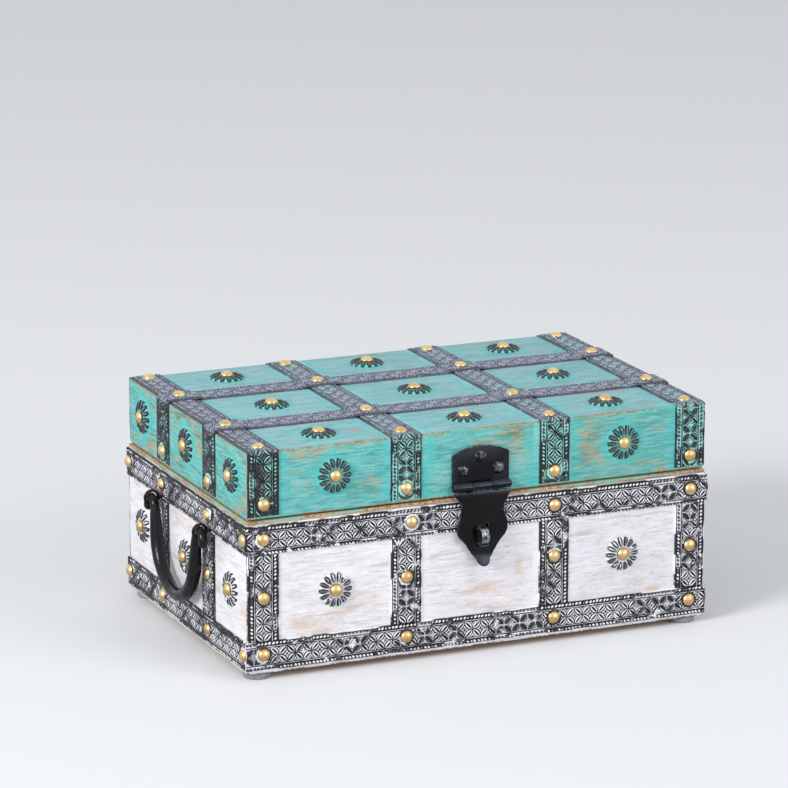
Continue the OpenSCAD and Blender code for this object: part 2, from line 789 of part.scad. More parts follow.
module hasp_strap() {
    knuckle_half = hasp_third / 2;
    slot_half = staple_w / 2 + slot_room;
    color("black") placed() hasp_frame() difference() {
        union() {
            intersection() {
                translate([0, hasp_w, 0]) rotate([90, 0, 0]) linear_extrude(2 * hasp_w) {
                    strap_outline();
                    translate([-knuckle_half, -hasp_barrel_d]) square([2 * knuckle_half, hasp_barrel_d]);
                }
                translate([-hasp_w, 0, 0]) rotate([90, 0, 90]) linear_extrude(2 * hasp_w) strap_profile();
            }
            bar_x(hasp_barrel_d / 2, -knuckle_half, knuckle_half);
        }
        bar_x(hasp_pin_d / 2 + pin_run, -hasp_w, hasp_w);
        block(
            [-slot_half, -hasp_w, -staple_drop - staple_r - slot_room],
            [slot_half, hasp_w, -staple_drop + staple_r + slot_room]
        );
    }
}

base_floor();
base_front_wall();
base_back_wall();
base_left_wall();
base_right_wall();
base_feet();
top_band_front();
top_band_back();
top_band_left();
top_band_right();
bottom_band_front();
bottom_band_back();
bottom_band_left();
bottom_band_right();
base_straps_front();
base_straps_back();
base_straps_left();
base_straps_right();
base_rosettes();
base_nails();
staple();
handle_eyes_left();
handle_eyes_right();
hinge_leaves_base();
hinge_screws_base();
hinge_pins();
lid_top();
lid_front_wall();
lid_back_wall();
lid_left_wall();
lid_right_wall();
lid_strap_1();
lid_strap_2();
lid_strap_3();
lid_strap_4();
lid_cross_strap_front();
lid_cross_strap_back();
lid_rosettes();
lid_nails();
hinge_leaves_lid();
hinge_screws_lid();
hasp_plate();
hasp_screws();
hasp_pin();
hasp_strap();
left_handle();
right_handle();
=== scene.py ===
"""Looks of a painted wooden chest with embossed metal strips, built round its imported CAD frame."""

import json
import math
import random
from collections import namedtuple
from functools import partial

import bmesh
import bpy
from mathutils import Matrix, Vector, noise


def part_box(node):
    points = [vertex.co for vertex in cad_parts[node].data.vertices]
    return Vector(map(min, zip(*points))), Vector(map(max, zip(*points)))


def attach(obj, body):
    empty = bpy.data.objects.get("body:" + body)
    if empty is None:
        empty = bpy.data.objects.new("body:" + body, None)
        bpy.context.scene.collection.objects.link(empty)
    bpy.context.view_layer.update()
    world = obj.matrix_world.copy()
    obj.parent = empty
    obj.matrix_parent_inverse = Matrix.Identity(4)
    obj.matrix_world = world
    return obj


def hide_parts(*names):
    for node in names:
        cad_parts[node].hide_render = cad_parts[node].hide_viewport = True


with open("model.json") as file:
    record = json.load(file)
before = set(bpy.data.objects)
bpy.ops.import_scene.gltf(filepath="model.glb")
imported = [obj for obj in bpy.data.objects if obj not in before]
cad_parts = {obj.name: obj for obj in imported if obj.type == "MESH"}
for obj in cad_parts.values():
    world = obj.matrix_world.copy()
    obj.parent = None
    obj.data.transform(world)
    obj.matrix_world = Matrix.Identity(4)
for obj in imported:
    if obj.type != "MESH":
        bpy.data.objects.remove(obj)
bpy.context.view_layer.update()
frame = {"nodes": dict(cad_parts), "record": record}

MM = 0.001
SAME_PLACE = 0.001 * MM
SAME_PLANE = 0.01 * MM
UP = Vector((0, 0, 1))
OUTWARD = {
    "front": Vector((0, -1, 0)),
    "back": Vector((0, 1, 0)),
    "left": Vector((-1, 0, 0)),
    "right": Vector((1, 0, 0)),
}
BODIES = {
    node: body
    for body, nodes in frame["record"]["behaviour"]["bodies"].items()
    for node in nodes
}

# Embossed strips
PLATE_H = 0.45 * MM
RELIEF_H = 1.0 * MM
MOTIF_L = 8.9 * MM
FIELD_HALF = 4.4 * MM
PETAL_HALF = 1.45 * MM
STAR_REACH = 2.7 * MM
RIDGE_W = 0.55 * MM
BEAD_L = 2.1 * MM
BEAD_W = 1.4 * MM
BEAD_SLANT = math.radians(38)
BEAD_PITCH = 1.95 * MM
BEAD_OUT = 1.35 * MM
BEAD_LOSS = 0.3
BEAD_SIDES = 8
BASE_EDGE_PAINT = 1.4
LID_EDGE_PAINT = 0.5
CUT_WANDER = 0.25 * MM
CUT_SLOPE = 0.2 * MM
FLANGE_SHIFT = 0.5 * MM
# The painted sheen on the lid's top fades in over this height
TOP_SHEEN_H = 0.5 * MM
BEND_R = 0.9 * MM
CLIMB_L = 2.2 * MM
CLIMB_GAP = 0.3 * MM

# Rosettes, nails and tacks. Beyond ON_SIDE of the way out along x, a fitting is on the left or right side
PETALS = 14
PETAL_FOOT = 0.45
GROOVE_DEPTH = 0.75 * MM
ROSETTE_RIM = 0.6
NAIL_SPOKES = 18
NAIL_TILT = math.radians(4)
NAIL_PRESS = 0.85
NAIL_DENT = 0.09 * MM
NAIL_FOOT = 0.3 * MM
ON_ROSETTE = 5 * MM
ON_SIDE = 0.9
COLLAR_W = 1.5 * MM
COLLAR_H = 0.02 * MM
COLLAR_WANDER = 0.06
TACK_D = 2.8 * MM
TACK_H = 0.9 * MM
TACK_IN = 0.5 * MM
TACK_WANDER = 3 * MM

# Rounded edges
BOARD_EDGE = 0.9 * MM
METAL_EDGE = 0.25 * MM
FOOT_EDGE = 1.1 * MM
SHARP = math.radians(35)

# Paint on the wood: distances from the middle of a panel
FRESH_R = 11 * MM
HALO_R = 9.2 * MM
HALO_W = 1.2 * MM
FRESH_EDGE = 29 * MM
FRESH_FADE = 7 * MM
THICK_EDGE = 28.6 * MM
THICK_FADE = 1 * MM
RAGGED = 18 * MM
RIM_FADE = 0.3 * MM

# Handles
GRIP_R = 27 * MM
GRIP_BAR_R = 3.6 * MM
HOOK_BAR_R = 2.5 * MM
HOOK_R = 4.5 * MM
ARM_L = 15.8 * MM
ARM_LEAN = math.radians(10)
GRIP_SPOKES = 20
GRIP_STEPS = 24
ARM_STEPS = 10
HOOK_STEPS = 20
HAMMER_IN = 0.1 * MM
HAMMER_DENTS = ((0.24 * MM, 7 * MM), (0.1 * MM, 2.2 * MM))

# Plates behind the hasp: a sheet of painted shade, and the staple's plate, whose black is partly painted
# shade
STAPLE_SHADE_PLATE_OUT = 2.6 * MM
STAPLE_SHADE_PLATE_H = 1.5 * MM
SHADE_SHEET_IN = 1.2 * MM
SHADE_SHEET_BELOW = 2.6 * MM
SHADE_SHEET_ABOVE = 3.6 * MM
SHADE_SHEET_H = 0.12 * MM

# The photograph's view: where the camera looks, from which side, how high and how far
TARGET = Vector((-11.28, 2.35, 115.69)) * MM
AZIMUTH = math.radians(-23.85)
ELEVATION = math.radians(14.46)
ROLL = math.radians(0.15)
DISTANCE = 2252.2 * MM
SENSOR_W = 36
FOCAL_LENGTH = 200.85

# Light
SKY = (0.96, 0.98, 1.0, 1)
AMBIENT = 0.53
KEY_PLACE = Vector((-2.8, -1.1, 1.5))
KEY_W = 1.2
KEY_POWER = 69
FILL_PLACE = Vector((1.4, -2.3, 1.2))
FILL_W = 1.6
FILL_POWER = 24
FLOOR_R = 9


# Small helpers

def middle(box):
    return (box[0] + box[1]) / 2


def size(box):
    return box[1] - box[0]


def box_round(points):
    """The lowest and the highest corner of the box round some points."""
    points = list(points)
    return tuple(Vector([pick(point[i] for point in points) for i in range(3)]) for pick in (min, max))


def joined_box(nodes):
    return box_round(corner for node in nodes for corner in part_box(node))


def around(count):
    """Places spaced evenly round a circle, each as a cosine and a sine."""
    return [(math.cos(math.tau * i / count), math.sin(math.tau * i / count)) for i in range(count)]


def welded(node):
    """A bmesh of a CAD node with its split vertices joined."""
    sheet = bmesh.new()
    sheet.from_mesh(frame["nodes"][node].data)
    bmesh.ops.remove_doubles(sheet, verts=sheet.verts, dist=SAME_PLACE)
    return sheet


def solids(node):
    """The boxes of a CAD node's separate solids."""
    sheet = welded(node)
    left = set(sheet.verts)
    boxes = []
    while left:
        island = [left.pop()]
        for vert in island:
            for edge in vert.link_edges:
                other = edge.other_vert(vert)
                if other in left:
                    left.remove(other)
                    island.append(other)
        boxes.append(box_round(vert.co for vert in island))
    sheet.free()
    return sorted(boxes, key=lambda box: tuple(round(c, 4) for c in box[0]))


def made_piece(name, sheet, materials, smooth=True):
    """Turns a bmesh into an object."""
    mesh = bpy.data.meshes.new(name)
    sheet.to_mesh(mesh)
    sheet.free()
    for material in materials:
        mesh.materials.append(material)
    for polygon in mesh.polygons:
        polygon.use_smooth = smooth
    piece = bpy.data.objects.new(name, mesh)
    bpy.context.scene.collection.objects.link(piece)
    return piece


def carry(piece, like):
    """Gives a piece the body of a CAD node."""
    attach(piece, BODIES[like])


def dress(piece, node):
    """Lets a piece stand for a CAD node."""
    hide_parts(node)
    carry(piece, node)


def keep_sharp(piece):
    """Smooth shading that keeps sharp edges sharp."""
    sheet = bmesh.new()
    sheet.from_mesh(piece.data)
    for edge in sheet.edges:
        edge.smooth = len(edge.link_faces) == 2 and edge.calc_face_angle(0) < SHARP
    sheet.to_mesh(piece.data)
    sheet.free()


# Materials

def tone(red, green, blue):
    """A colour as it shows on a screen, 0 to 255, made linear for a shader."""
    linear = []
    for level in (red, green, blue):
        share = level / 255
        linear.append(share / 12.92 if share <= 0.04045 else ((share + 0.055) / 1.055) ** 2.4)
    return (*linear, 1.0)


class Nodes:
    """A node tree being filled. Most methods add a node and give its output."""

    def __init__(self, tree):
        self.tree = tree

    def plug(self, socket, value):
        if isinstance(value, bpy.types.NodeSocket):
            self.tree.links.new(value, socket)
        else:
            socket.default_value = value

    def node(self, kind, sockets=None):
        """Adds a node of a kind, with what goes into its sockets."""
        node = self.tree.nodes.new(f"ShaderNode{kind}")
        for socket, value in (sockets or {}).items():
            self.plug(node.inputs[socket], value)
        return node

    def calc(self, operation, *values):
        node = self.node("Math", dict(enumerate(values)))
        node.operation = operation
        return node.outputs[0]

    def place(self):
        return self.node("TexCoord").outputs["Object"]

    def facing(self):
        return self.node("NewGeometry").outputs["Normal"]

    def axes(self, vector):
        return self.node("SeparateXYZ", {0: vector}).outputs

    def noise(self, waves, detail=3.0, roughness=0.55):
        """Noise with a number of waves per metre, the same on each axis or one for each."""
        per_axis = waves if isinstance(waves, tuple) else (waves, waves, waves)
        scaled = self.node("VectorMath", {0: self.place(), 1: per_axis})
        scaled.operation = "MULTIPLY"
        sockets = {"Vector": scaled.outputs[0], "Scale": 1.0, "Detail": detail, "Roughness": roughness}
        return self.node("TexNoise", sockets).outputs["Fac"]

    def step(self, value, low, high, from_value=0.0, to_value=1.0):
        """A soft step from one value to another, as value goes from low to high."""
        node = self.node("MapRange", {
            "Value": value, "From Min": low, "From Max": high, "To Min": from_value, "To Max": to_value,
        })
        node.interpolation_type = "SMOOTHSTEP"
        return node.outputs[0]

    def mix(self, share, a, b):
        node = self.node("Mix", {0: share, 6: a, 7: b})
        node.data_type = "RGBA"
        return node.outputs[2]

    def attribute(self, name):
        node = self.node("Attribute")
        node.attribute_name = name
        return node.outputs["Fac"]


class Surface(Nodes):
    """A material being made."""

    def __init__(self, name, roughness=0.5, metallic=0.0):
        self.material = bpy.data.materials.new(name)
        self.material.use_nodes = True
        super().__init__(self.material.node_tree)
        self.shader = self.tree.nodes["Principled BSDF"]
        self.set("Roughness", roughness)
        self.set("Metallic", metallic)

    def set(self, name, value):
        self.plug(self.shader.inputs[name], value)

    def finished(self, colour, height, depth, strength=1.0):
        """The material, with its colour and its fine bumps."""
        bumps = self.node("Bump", {"Height": height, "Distance": depth, "Strength": strength})
        self.set("Base Color", colour)
        self.set("Normal", bumps.outputs[0])
        return self.material


Palette = namedtuple("Palette", "deep light pale tint fresh wood dark_wood")
Rim = namedtuple("Rim", "level paint wood dark_wood")


def grain_waves(along, coarse, fine):
    """Waves per metre on each axis: few along the grain, many across it."""
    waves = [fine, fine, fine]
    waves[along] = coarse
    return tuple(waves)


def folded(surface, value, pitch):
    """Distance along an axis from the nearest of evenly spaced places, one of them at zero."""
    turns = surface.calc("ROUND", surface.calc("DIVIDE", value, pitch))
    return surface.calc("ABSOLUTE", surface.calc("SUBTRACT", value, surface.calc("MULTIPLY", turns, pitch)))


def panel_distances(surface, along, across, panels, bare_middle):
    """How far a point is from the middle of its panel, along the grain and in all. In a bare middle
    panel, with no rosette, everything is far."""
    centre, pitch = panels
    places = surface.axes(surface.place())
    offset = surface.calc("SUBTRACT", places[along], centre[along])
    side = folded(surface, offset, pitch[along])
    rise = surface.calc("SUBTRACT", places[across], centre[across])
    if pitch[across]:
        rise = folded(surface, rise, pitch[across])
    squares = surface.calc("MULTIPLY_ADD", side, side, surface.calc("MULTIPLY", rise, rise))
    straight = surface.calc("SQRT", squares)
    if bare_middle:
        in_middle = surface.calc("LESS_THAN", surface.calc("ABSOLUTE", offset), pitch[along] / 2)
        straight = surface.calc("ADD", straight, in_middle)
    return side, straight


def brushed_coats(surface, along, grain, tints, palette):
    """Brush strokes of a deeper and a lighter tone, with a tint in places and pale ridges of the grain."""
    brush = surface.noise(grain_waves(along, 28, 170), detail=4)
    paint = surface.mix(surface.step(brush, 0.38, 0.62), palette.deep, palette.light)
    paint = surface.mix(surface.step(tints, 0.5, 0.7, 0, 0.6), paint, palette.tint)
    return surface.mix(surface.step(grain, 0.46, 0.66, 0, 0.75), paint, palette.pale)


def fresh_places(surface, blotches, side, straight):
    """Where the paint is hardly worn: round the rosettes and beside the straps, with a ragged edge."""
    ragged = surface.calc("MULTIPLY", surface.calc("SUBTRACT", blotches, 0.5), RAGGED)
    near = surface.step(surface.calc("SUBTRACT", straight, ragged), 0.85 * FRESH_R, 1.25 * FRESH_R, 1, 0)
    beside = surface.step(surface.calc("ADD", side, ragged), FRESH_EDGE - FRESH_FADE, FRESH_EDGE, 0, 0.8)
    return surface.calc("MAXIMUM", near, beside)


def thick_places(surface, blotches, side, straight):
    """Where paint gathers: in a broken ring round a rosette and in the corner beside a strap."""
    from_ring = surface.calc("ABSOLUTE", surface.calc("SUBTRACT", straight, HALO_R))
    ring = surface.step(from_ring, 0, HALO_W, 0.7, 0)
    beside = surface.step(side, THICK_EDGE, THICK_EDGE + THICK_FADE, 0, 0.7)
    broken = surface.step(blotches, 0.4, 0.62)
    return surface.calc("MULTIPLY", surface.calc("MAXIMUM", ring, beside), broken)


def dirt_places(surface, along, grain, specks, tints, grime):
    """Dark creases along the grain, and a soft film of grime."""
    lines = surface.noise(grain_waves(along, 45, 480), detail=2)
    creases = surface.step(surface.calc("MULTIPLY_ADD", specks, 0.2, lines), 0.5, 0.38, 0, 0.6)
    pores = surface.step(grain, 0.44, 0.32, 0, 0.6)
    film = surface.step(surface.calc("MULTIPLY_ADD", grain, 0.5, tints), 0.7, 0.5, 0, grime)
    return surface.calc("MAXIMUM", surface.calc("MAXIMUM", creases, pores), film)


def rubbed_wood(surface, fine, wood, dark_wood):
    return surface.mix(surface.step(fine, 0.4, 0.6), dark_wood, wood)


def with_rim(surface, colour, fine, patches, rim):
    """Bare wood with patches of turquoise above a level, where the base's boards meet the lid."""
    bare = rubbed_wood(surface, fine, rim.wood, rim.dark_wood)
    above = surface.step(surface.axes(surface.place())["Z"], rim.level, rim.level + RIM_FADE)
    return surface.mix(above, colour, surface.mix(patches, bare, rim.paint))


def worn_paint(name, along, across, panels, palette, cover, rim=None, bare_middle=False, grime=0.3):
    """Brushed paint, rubbed through to the wood in the open panels and thick beside the metal.
    panels has the middle of a panel and the pitch of the panels on each axis."""
    surface = Surface(name, roughness=0.6)
    fibres = surface.noise(grain_waves(along, 110, 900), detail=4, roughness=0.7)
    blotches = surface.noise(grain_waves(along, 32, 95), detail=5, roughness=0.68)
    tints = surface.noise(grain_waves(along, 24, 60), detail=3)
    specks = surface.noise(1300, detail=2)
    grain = surface.calc("SUBTRACT", surface.calc("MULTIPLY_ADD", specks, 0.3, fibres), 0.15)
    side, straight = panel_distances(surface, along, across, panels, bare_middle)
    fresh = fresh_places(surface, blotches, side, straight)
    paint = brushed_coats(surface, along, grain, tints, palette)
    paint = surface.mix(surface.calc("MULTIPLY", fresh, 0.7), paint, palette.fresh)
    bare = surface.mix(surface.step(grain, 0.36, 0.6), palette.dark_wood, palette.wood)
    rubbing = surface.calc("MULTIPLY_ADD", surface.calc("SUBTRACT", grain, 0.5), 0.5, blotches)
    rubbed = surface.step(rubbing, cover, cover + 0.15, 0, 0.9)
    rubbed = surface.calc("MULTIPLY", rubbed, surface.step(fresh, 0, 1, 1, 0.15))
    colour = surface.mix(rubbed, paint, bare)
    dirt = dirt_places(surface, along, grain, specks, tints, grime)
    colour = surface.mix(dirt, colour, palette.dark_wood)
    colour = surface.mix(thick_places(surface, blotches, side, straight), colour, palette.pale)
    if rim:
        colour = with_rim(surface, colour, grain, surface.step(rubbing, 0.56, 0.66), rim)
    return surface.finished(colour, surface.calc("MULTIPLY_ADD", rubbed, -0.4, grain), depth=0.22 * MM)


TURQUOISE = Palette(
    deep=tone(80, 177, 173),
    light=tone(101, 189, 185),
    pale=tone(142, 211, 209),
    tint=tone(132, 185, 176),
    fresh=tone(64, 204, 201),
    wood=tone(190, 168, 130),
    dark_wood=tone(84, 116, 100),
)
# The lid's top: paler, greyer turquoise, a painted sheen that stands in for a pale room reflected at a low
# view
TOP_SHEEN_TURQUOISE = Palette(
    deep=tone(115, 184, 189),
    light=tone(139, 200, 205),
    pale=tone(171, 216, 223),
    tint=tone(161, 192, 203),
    fresh=tone(111, 206, 209),
    wood=tone(184, 172, 158),
    dark_wood=tone(114, 137, 136),
)
WHITEWASH = Palette(
    deep=tone(226, 225, 232),
    light=tone(234, 233, 240),
    pale=tone(252, 252, 255),
    tint=tone(239, 230, 230),
    fresh=tone(242, 242, 248),
    wood=tone(224, 203, 184),
    dark_wood=tone(192, 184, 180),
)


def bare_wood(along):
    surface = Surface("bare_wood", roughness=0.6)
    rings = surface.noise(grain_waves(along, 14, 190), detail=4)
    fibres = surface.noise(grain_waves(along, 50, 900), detail=3)
    colour = surface.mix(surface.step(rings, 0.35, 0.65), tone(196, 160, 116), tone(168, 128, 86))
    colour = surface.mix(surface.step(fibres, 0.5, 0.7, 0, 0.5), colour, tone(126, 92, 60))
    return surface.finished(colour, fibres, depth=0.1 * MM, strength=0.6)


def worn_edge(name, paint, wood, dark_wood, bared, rim=None):
    """The rounded edge of a board. bared is the share of it that is rubbed through to the wood."""
    surface = Surface(name, roughness=0.65)
    patches = surface.noise(60, detail=4)
    fine = surface.noise(700, detail=3)
    level = 0.52 + 0.36 * bared
    mask = surface.step(surface.calc("MULTIPLY_ADD", fine, 0.4, patches), level, level + 0.12)
    colour = surface.mix(mask, rubbed_wood(surface, fine, wood, dark_wood), paint)
    if rim:
        colour = with_rim(surface, colour, fine, mask, rim)
    return surface.finished(colour, fine, depth=0.1 * MM, strength=0.7)


def embossed_metal(name, paint, tin, fill, brush, smear=0.0, top_sheen=None):
    """Black tin rubbed with paint, which stays in the hollows and catches on the beads and ridges.
    fill and brush say how much of the hollows and the ridges is painted, at least and at most."""
    surface = Surface(name)
    # tin is the black and the lighter tone of rubbed ridges: wear, and also a painted highlight
    black, worn_and_sheen = tin
    ridge = surface.attribute("ridge")
    ground = surface.attribute("ground")
    clouds = surface.noise(70, detail=3)
    blots = surface.noise(190, detail=3)
    specks = surface.noise(1300, detail=2)
    filling = surface.step(clouds, 0.38, 0.62, *fill)
    brushing = surface.step(clouds, 0.36, 0.64, *reversed(brush))
    painted = surface.calc("MULTIPLY_ADD", ground, filling, surface.calc("MULTIPLY", ridge, brushing))
    painted = surface.calc("ADD", painted, surface.step(blots, 0.6, 0.72, 0, smear))
    painted = surface.calc("MULTIPLY_ADD", surface.calc("SUBTRACT", specks, 0.5), 0.5, painted)
    mask = surface.step(painted, 0.38, 0.62)
    rubbed = surface.step(surface.calc("MULTIPLY_ADD", specks, 0.4, ridge), 0.4, 0.9)
    metal = surface.mix(rubbed, black, worn_and_sheen)
    thin = 1.0
    # Painted sheen on the lid's top: pale tin, palest on the ridges, with less of the paint showing,
    # standing in for a pale room reflected at a low view
    if top_sheen:
        level, sheen_black, sheen_worn = top_sheen
        on_top = surface.step(surface.axes(surface.place())["Z"], level - TOP_SHEEN_H, level)
        ridge_sheen = surface.step(surface.calc("MULTIPLY_ADD", specks, 0.8, ridge), 0.65, 1.6)
        metal = surface.mix(on_top, metal, surface.mix(ridge_sheen, sheen_black, sheen_worn))
        thin = surface.step(on_top, 0, 1, 1, 0.45)
    surface.set("Roughness", surface.step(mask, 0, 1, 0.4, 0.7))
    colour = surface.mix(surface.calc("MULTIPLY", mask, thin), metal, paint)
    return surface.finished(colour, specks, depth=0.12 * MM, strength=0.6)


def aged_brass():
    surface = Surface("aged_brass", metallic=1.0)
    rise = surface.attribute("ridge")
    clouds = surface.noise(260, detail=3)
    scratches = surface.noise((1500, 400, 700), detail=2)
    brass = surface.mix(surface.step(clouds, 0.35, 0.65), tone(236, 206, 150), tone(208, 170, 110))
    # Darker towards each nail's foot: grime, and painted shade where the head meets the metal under it
    grime = surface.step(surface.calc("MULTIPLY_ADD", clouds, 0.2, rise), 0.02, 0.24)
    surface.set("Roughness", surface.step(clouds, 0.3, 0.7, 0.3, 0.46))
    surface.set("Coat Weight", 0.6)
    surface.set("Coat Roughness", 0.22)
    colour = surface.mix(grime, tone(108, 80, 50), brass)
    return surface.finished(colour, scratches, depth=0.06 * MM, strength=0.5)


def black_enamel(name, sheen, waves, depth, gloss=0.2, roughness=(0.14, 0.3)):
    """Black paint on iron. Painted sheen: what faces up takes the colour sheen, standing in for a pale room
    reflected above, and roughness goes between two levels.
    """
    surface = Surface(name)
    clouds = surface.noise(waves, detail=1.5)
    upward = surface.axes(surface.facing())["Z"]
    black = surface.mix(surface.step(clouds, 0.35, 0.65), tone(8, 8, 10), tone(14, 14, 17))
    surface.set("Specular IOR Level", gloss)
    surface.set("Roughness", surface.step(clouds, 0.3, 0.7, *roughness))
    # Painted sheen: faces that look up get the sheen colour
    return surface.finished(surface.mix(surface.step(upward, 0.02, 0.35), black, sheen), clouds, depth, 0.6)


def worn_steel(name, bright, dark, roughness=0.3):
    surface = Surface(name, roughness=roughness, metallic=0.9)
    clouds = surface.noise(500, detail=4)
    colour = surface.mix(surface.step(clouds, 0.4, 0.62), dark, bright)
    return surface.finished(colour, clouds, depth=0.05 * MM, strength=0.6)


def bumper_plastic():
    surface = Surface("bumper_plastic", roughness=0.35)
    clouds = surface.noise(220, detail=2)
    colour = surface.mix(surface.step(clouds, 0.3, 0.7), tone(150, 152, 158), tone(176, 178, 184))
    surface.set("Transmission Weight", 0.25)
    return surface.finished(colour, clouds, depth=0.05 * MM, strength=0.4)


# Embossed strips

class Ribbon:
    """A strip's path on the wood. It turns a place along, across and above the strip into a point."""

    def __init__(self, corners, side, bend=0.0):
        self.side = side
        points = self.rounded(corners, bend) if bend else corners
        directions = [(b - a).normalized() for a, b in zip(points, points[1:])]
        before = [directions[0], *directions]
        after = [*directions, directions[-1]]
        self.stops = [0.0]
        for a, b in zip(points, points[1:]):
            self.stops.append(self.stops[-1] + (b - a).length)
        self.points = points
        self.normals = []
        for came, goes in zip(before, after):
            outward = side.cross((came + goes).normalized())
            self.normals.append(outward / outward.dot(side.cross(came)))

    @staticmethod
    def rounded(corners, bend, steps=3):
        points = [corners[0]]
        for before, corner, after in zip(corners, corners[1:], corners[2:]):
            came = (corner - before).normalized()
            goes = (after - corner).normalized()
            if came.angle(goes) < math.radians(60):
                points.append(corner)
                continue
            for i in range(steps + 1):
                turn = math.radians(90) * i / steps
                back = bend * (1 - math.sin(turn))
                onward = bend * (1 - math.cos(turn))
                points.append(corner - came * back + goes * onward)
        return [*points, corners[-1]]

    @property
    def length(self):
        return self.stops[-1]

    def stations(self):
        """Where a strip's plain metal has a row of vertices: twice a motif, and at each bend."""
        steps = max(2, round(self.length / MOTIF_L * 2))
        return sorted(set([self.length * i / steps for i in range(steps + 1)] + self.stops))

    def at(self, along, across, height):
        i = 0
        while i < len(self.stops) - 2 and along > self.stops[i + 1]:
            i += 1
        share = (along - self.stops[i]) / (self.stops[i + 1] - self.stops[i])
        point = self.points[i].lerp(self.points[i + 1], share)
        normal = self.normals[i].lerp(self.normals[i + 1], share)
        return point + self.side * across + normal * height


class Relief:
    """A mesh being made, with how much each vertex is a ridge or the ground."""

    def __init__(self):
        self.sheet = bmesh.new()
        self.ridge = self.sheet.verts.layers.float.new("ridge")
        self.ground = self.sheet.verts.layers.float.new("ground")

    def vert(self, point, ridge=0.0, ground=0.0):
        made = self.sheet.verts.new(point)
        made[self.ridge] = ridge
        made[self.ground] = ground
        return made

    def face(self, *verts):
        self.sheet.faces.new(verts)

    def loft(self, rows, flip=False):
        """Faces between each row of vertices and the next."""
        for pair in zip(rows, rows[1:]):
            row, other = reversed(pair) if flip else pair
            for a, b, c, d in zip(row, row[1:], other[1:], other):
                self.face(a, b, c, d)

    def close_rings(self, rows):
        self.loft([[*row, row[0]] for row in rows])

    def fan(self, tip, row, flip=False):
        for a, b in zip(row, row[1:]):
            self.face(tip, b, a) if flip else self.face(tip, a, b)

    def plate(self, ribbon, width, rng, edge_paint):
        """The flat metal, its cut edges a little unsteady and taking paint as the ground does."""
        # Inwards from a cut edge: how many slopes from it, how high, and how much ridge and ground it is
        profile = (
            (0, 0, 0, edge_paint), (1, 1.3 * PLATE_H, 0.4, 0.7 * edge_paint),
            (4, PLATE_H, 0, 0.5), (6, PLATE_H, 0, 1),
        )
        rows = []
        for stop in ribbon.stations():
            left = -width / 2 + rng.uniform(0, CUT_WANDER)
            right = width / 2 - rng.uniform(0, CUT_WANDER)
            sides = [(left + slopes * CUT_SLOPE, *rest) for slopes, *rest in profile]
            sides += [(right - slopes * CUT_SLOPE, *rest) for slopes, *rest in reversed(profile)]
            rows.append([
                self.vert(ribbon.at(stop, across, height), ridge, ground)
                for across, height, ridge, ground in sides
            ])
        self.loft(rows, flip=True)
        self.face(*rows[0])
        self.face(*reversed(rows[-1]))

    def ridge_line(self, ribbon, across):
        rows = []
        for stop in ribbon.stations():
            rows.append([
                self.vert(ribbon.at(stop, across - RIDGE_W / 2, PLATE_H)),
                self.vert(ribbon.at(stop, across, RELIEF_H * 0.85), 1),
                self.vert(ribbon.at(stop, across + RIDGE_W / 2, PLATE_H)),
            ])
        self.loft(rows, flip=True)

    def bead(self, ribbon, along, across, slant, wear):
        """One turn of a twisted cord: a slanting oval, smaller and less painted the more it is worn."""
        rings = []
        for share, height, ridge in ((1.0, PLATE_H, 0.0), (0.66, RELIEF_H * 0.85, 0.9)):
            ring = []
            for cos, sin in around(BEAD_SIDES):
                long_way = BEAD_L / 2 * share * (1 - BEAD_LOSS * wear) * cos
                short_way = BEAD_W / 2 * share * (1 - BEAD_LOSS * wear) * sin
                onward = along + long_way * math.cos(slant) - short_way * math.sin(slant)
                aside = across + long_way * math.sin(slant) + short_way * math.cos(slant)
                ring.append(self.vert(ribbon.at(onward, aside, height), ridge * (1 - wear / 2)))
            rings.append(ring)
        self.close_rings(rings)
        tip = self.vert(ribbon.at(along, across, RELIEF_H), 1 - wear / 2)
        self.fan(tip, [*rings[-1], rings[-1][0]])

    def petal(self, ribbon, start, end):
        """A leaf from start to end, each a place along and across: dark flanks, raised rims, a valley."""
        steps = 6
        half_profile = (
            (1, PLATE_H, 0, 0), (0.84, 0.85 * RELIEF_H, 1, 0), (0.52, RELIEF_H, 1, 0),
            (0.26, 0.7 * RELIEF_H, 0, 0),
        )
        mirrored = [(-offset, *rest) for offset, *rest in reversed(half_profile)]
        profile = (*half_profile, (0, 0.5 * RELIEF_H, 0, 0.6), *mirrored)
        lean = (end - start).normalized()
        square = Vector((-lean.y, lean.x))
        rows = []
        for i in range(1, steps):
            share = i / steps
            centre = start.lerp(end, share)
            reach = PETAL_HALF * math.sin(math.pi * share) ** 0.7
            row = []
            for offset, height, ridge, ground in profile:
                place = centre + square * reach * offset
                row.append(self.vert(ribbon.at(place.x, place.y, height), ridge, ground))
            rows.append(row)
        self.loft(rows)
        self.fan(self.vert(ribbon.at(start.x, start.y, 0.7 * RELIEF_H), 0.6), rows[0], flip=True)
        self.fan(self.vert(ribbon.at(end.x, end.y, 0.7 * RELIEF_H), 0.6), rows[-1])

    def star(self, ribbon, centre, turns):
        """A star or half a star: a rim round a hollow, with a point at each of the turns, in half turns."""
        whole = len(turns) == 4
        corners = []
        for turn in turns:
            corners.append((turn, 1.0))
            if whole or turn != turns[-1]:
                corners.append((turn + 0.25, 0.42))
        rows = []
        for spread, height, ridge, ground in (
            (1.0, PLATE_H, 0, 0), (0.66, 0.9 * RELIEF_H, 1, 0.5), (0.36, 0.7 * RELIEF_H, 0.3, 0.6),
        ):
            row = []
            for turn, share in corners:
                way = Vector((math.cos(turn * math.pi), math.sin(turn * math.pi)))
                place = centre + way * STAR_REACH * share * spread
                row.append(self.vert(ribbon.at(place.x, place.y, height), ridge, ground))
            if whole:
                row.append(row[0])
            rows.append(row)
        self.loft(rows)
        self.fan(self.vert(ribbon.at(centre.x, centre.y, 0.6 * RELIEF_H), 0.3, 0.8), rows[-1])

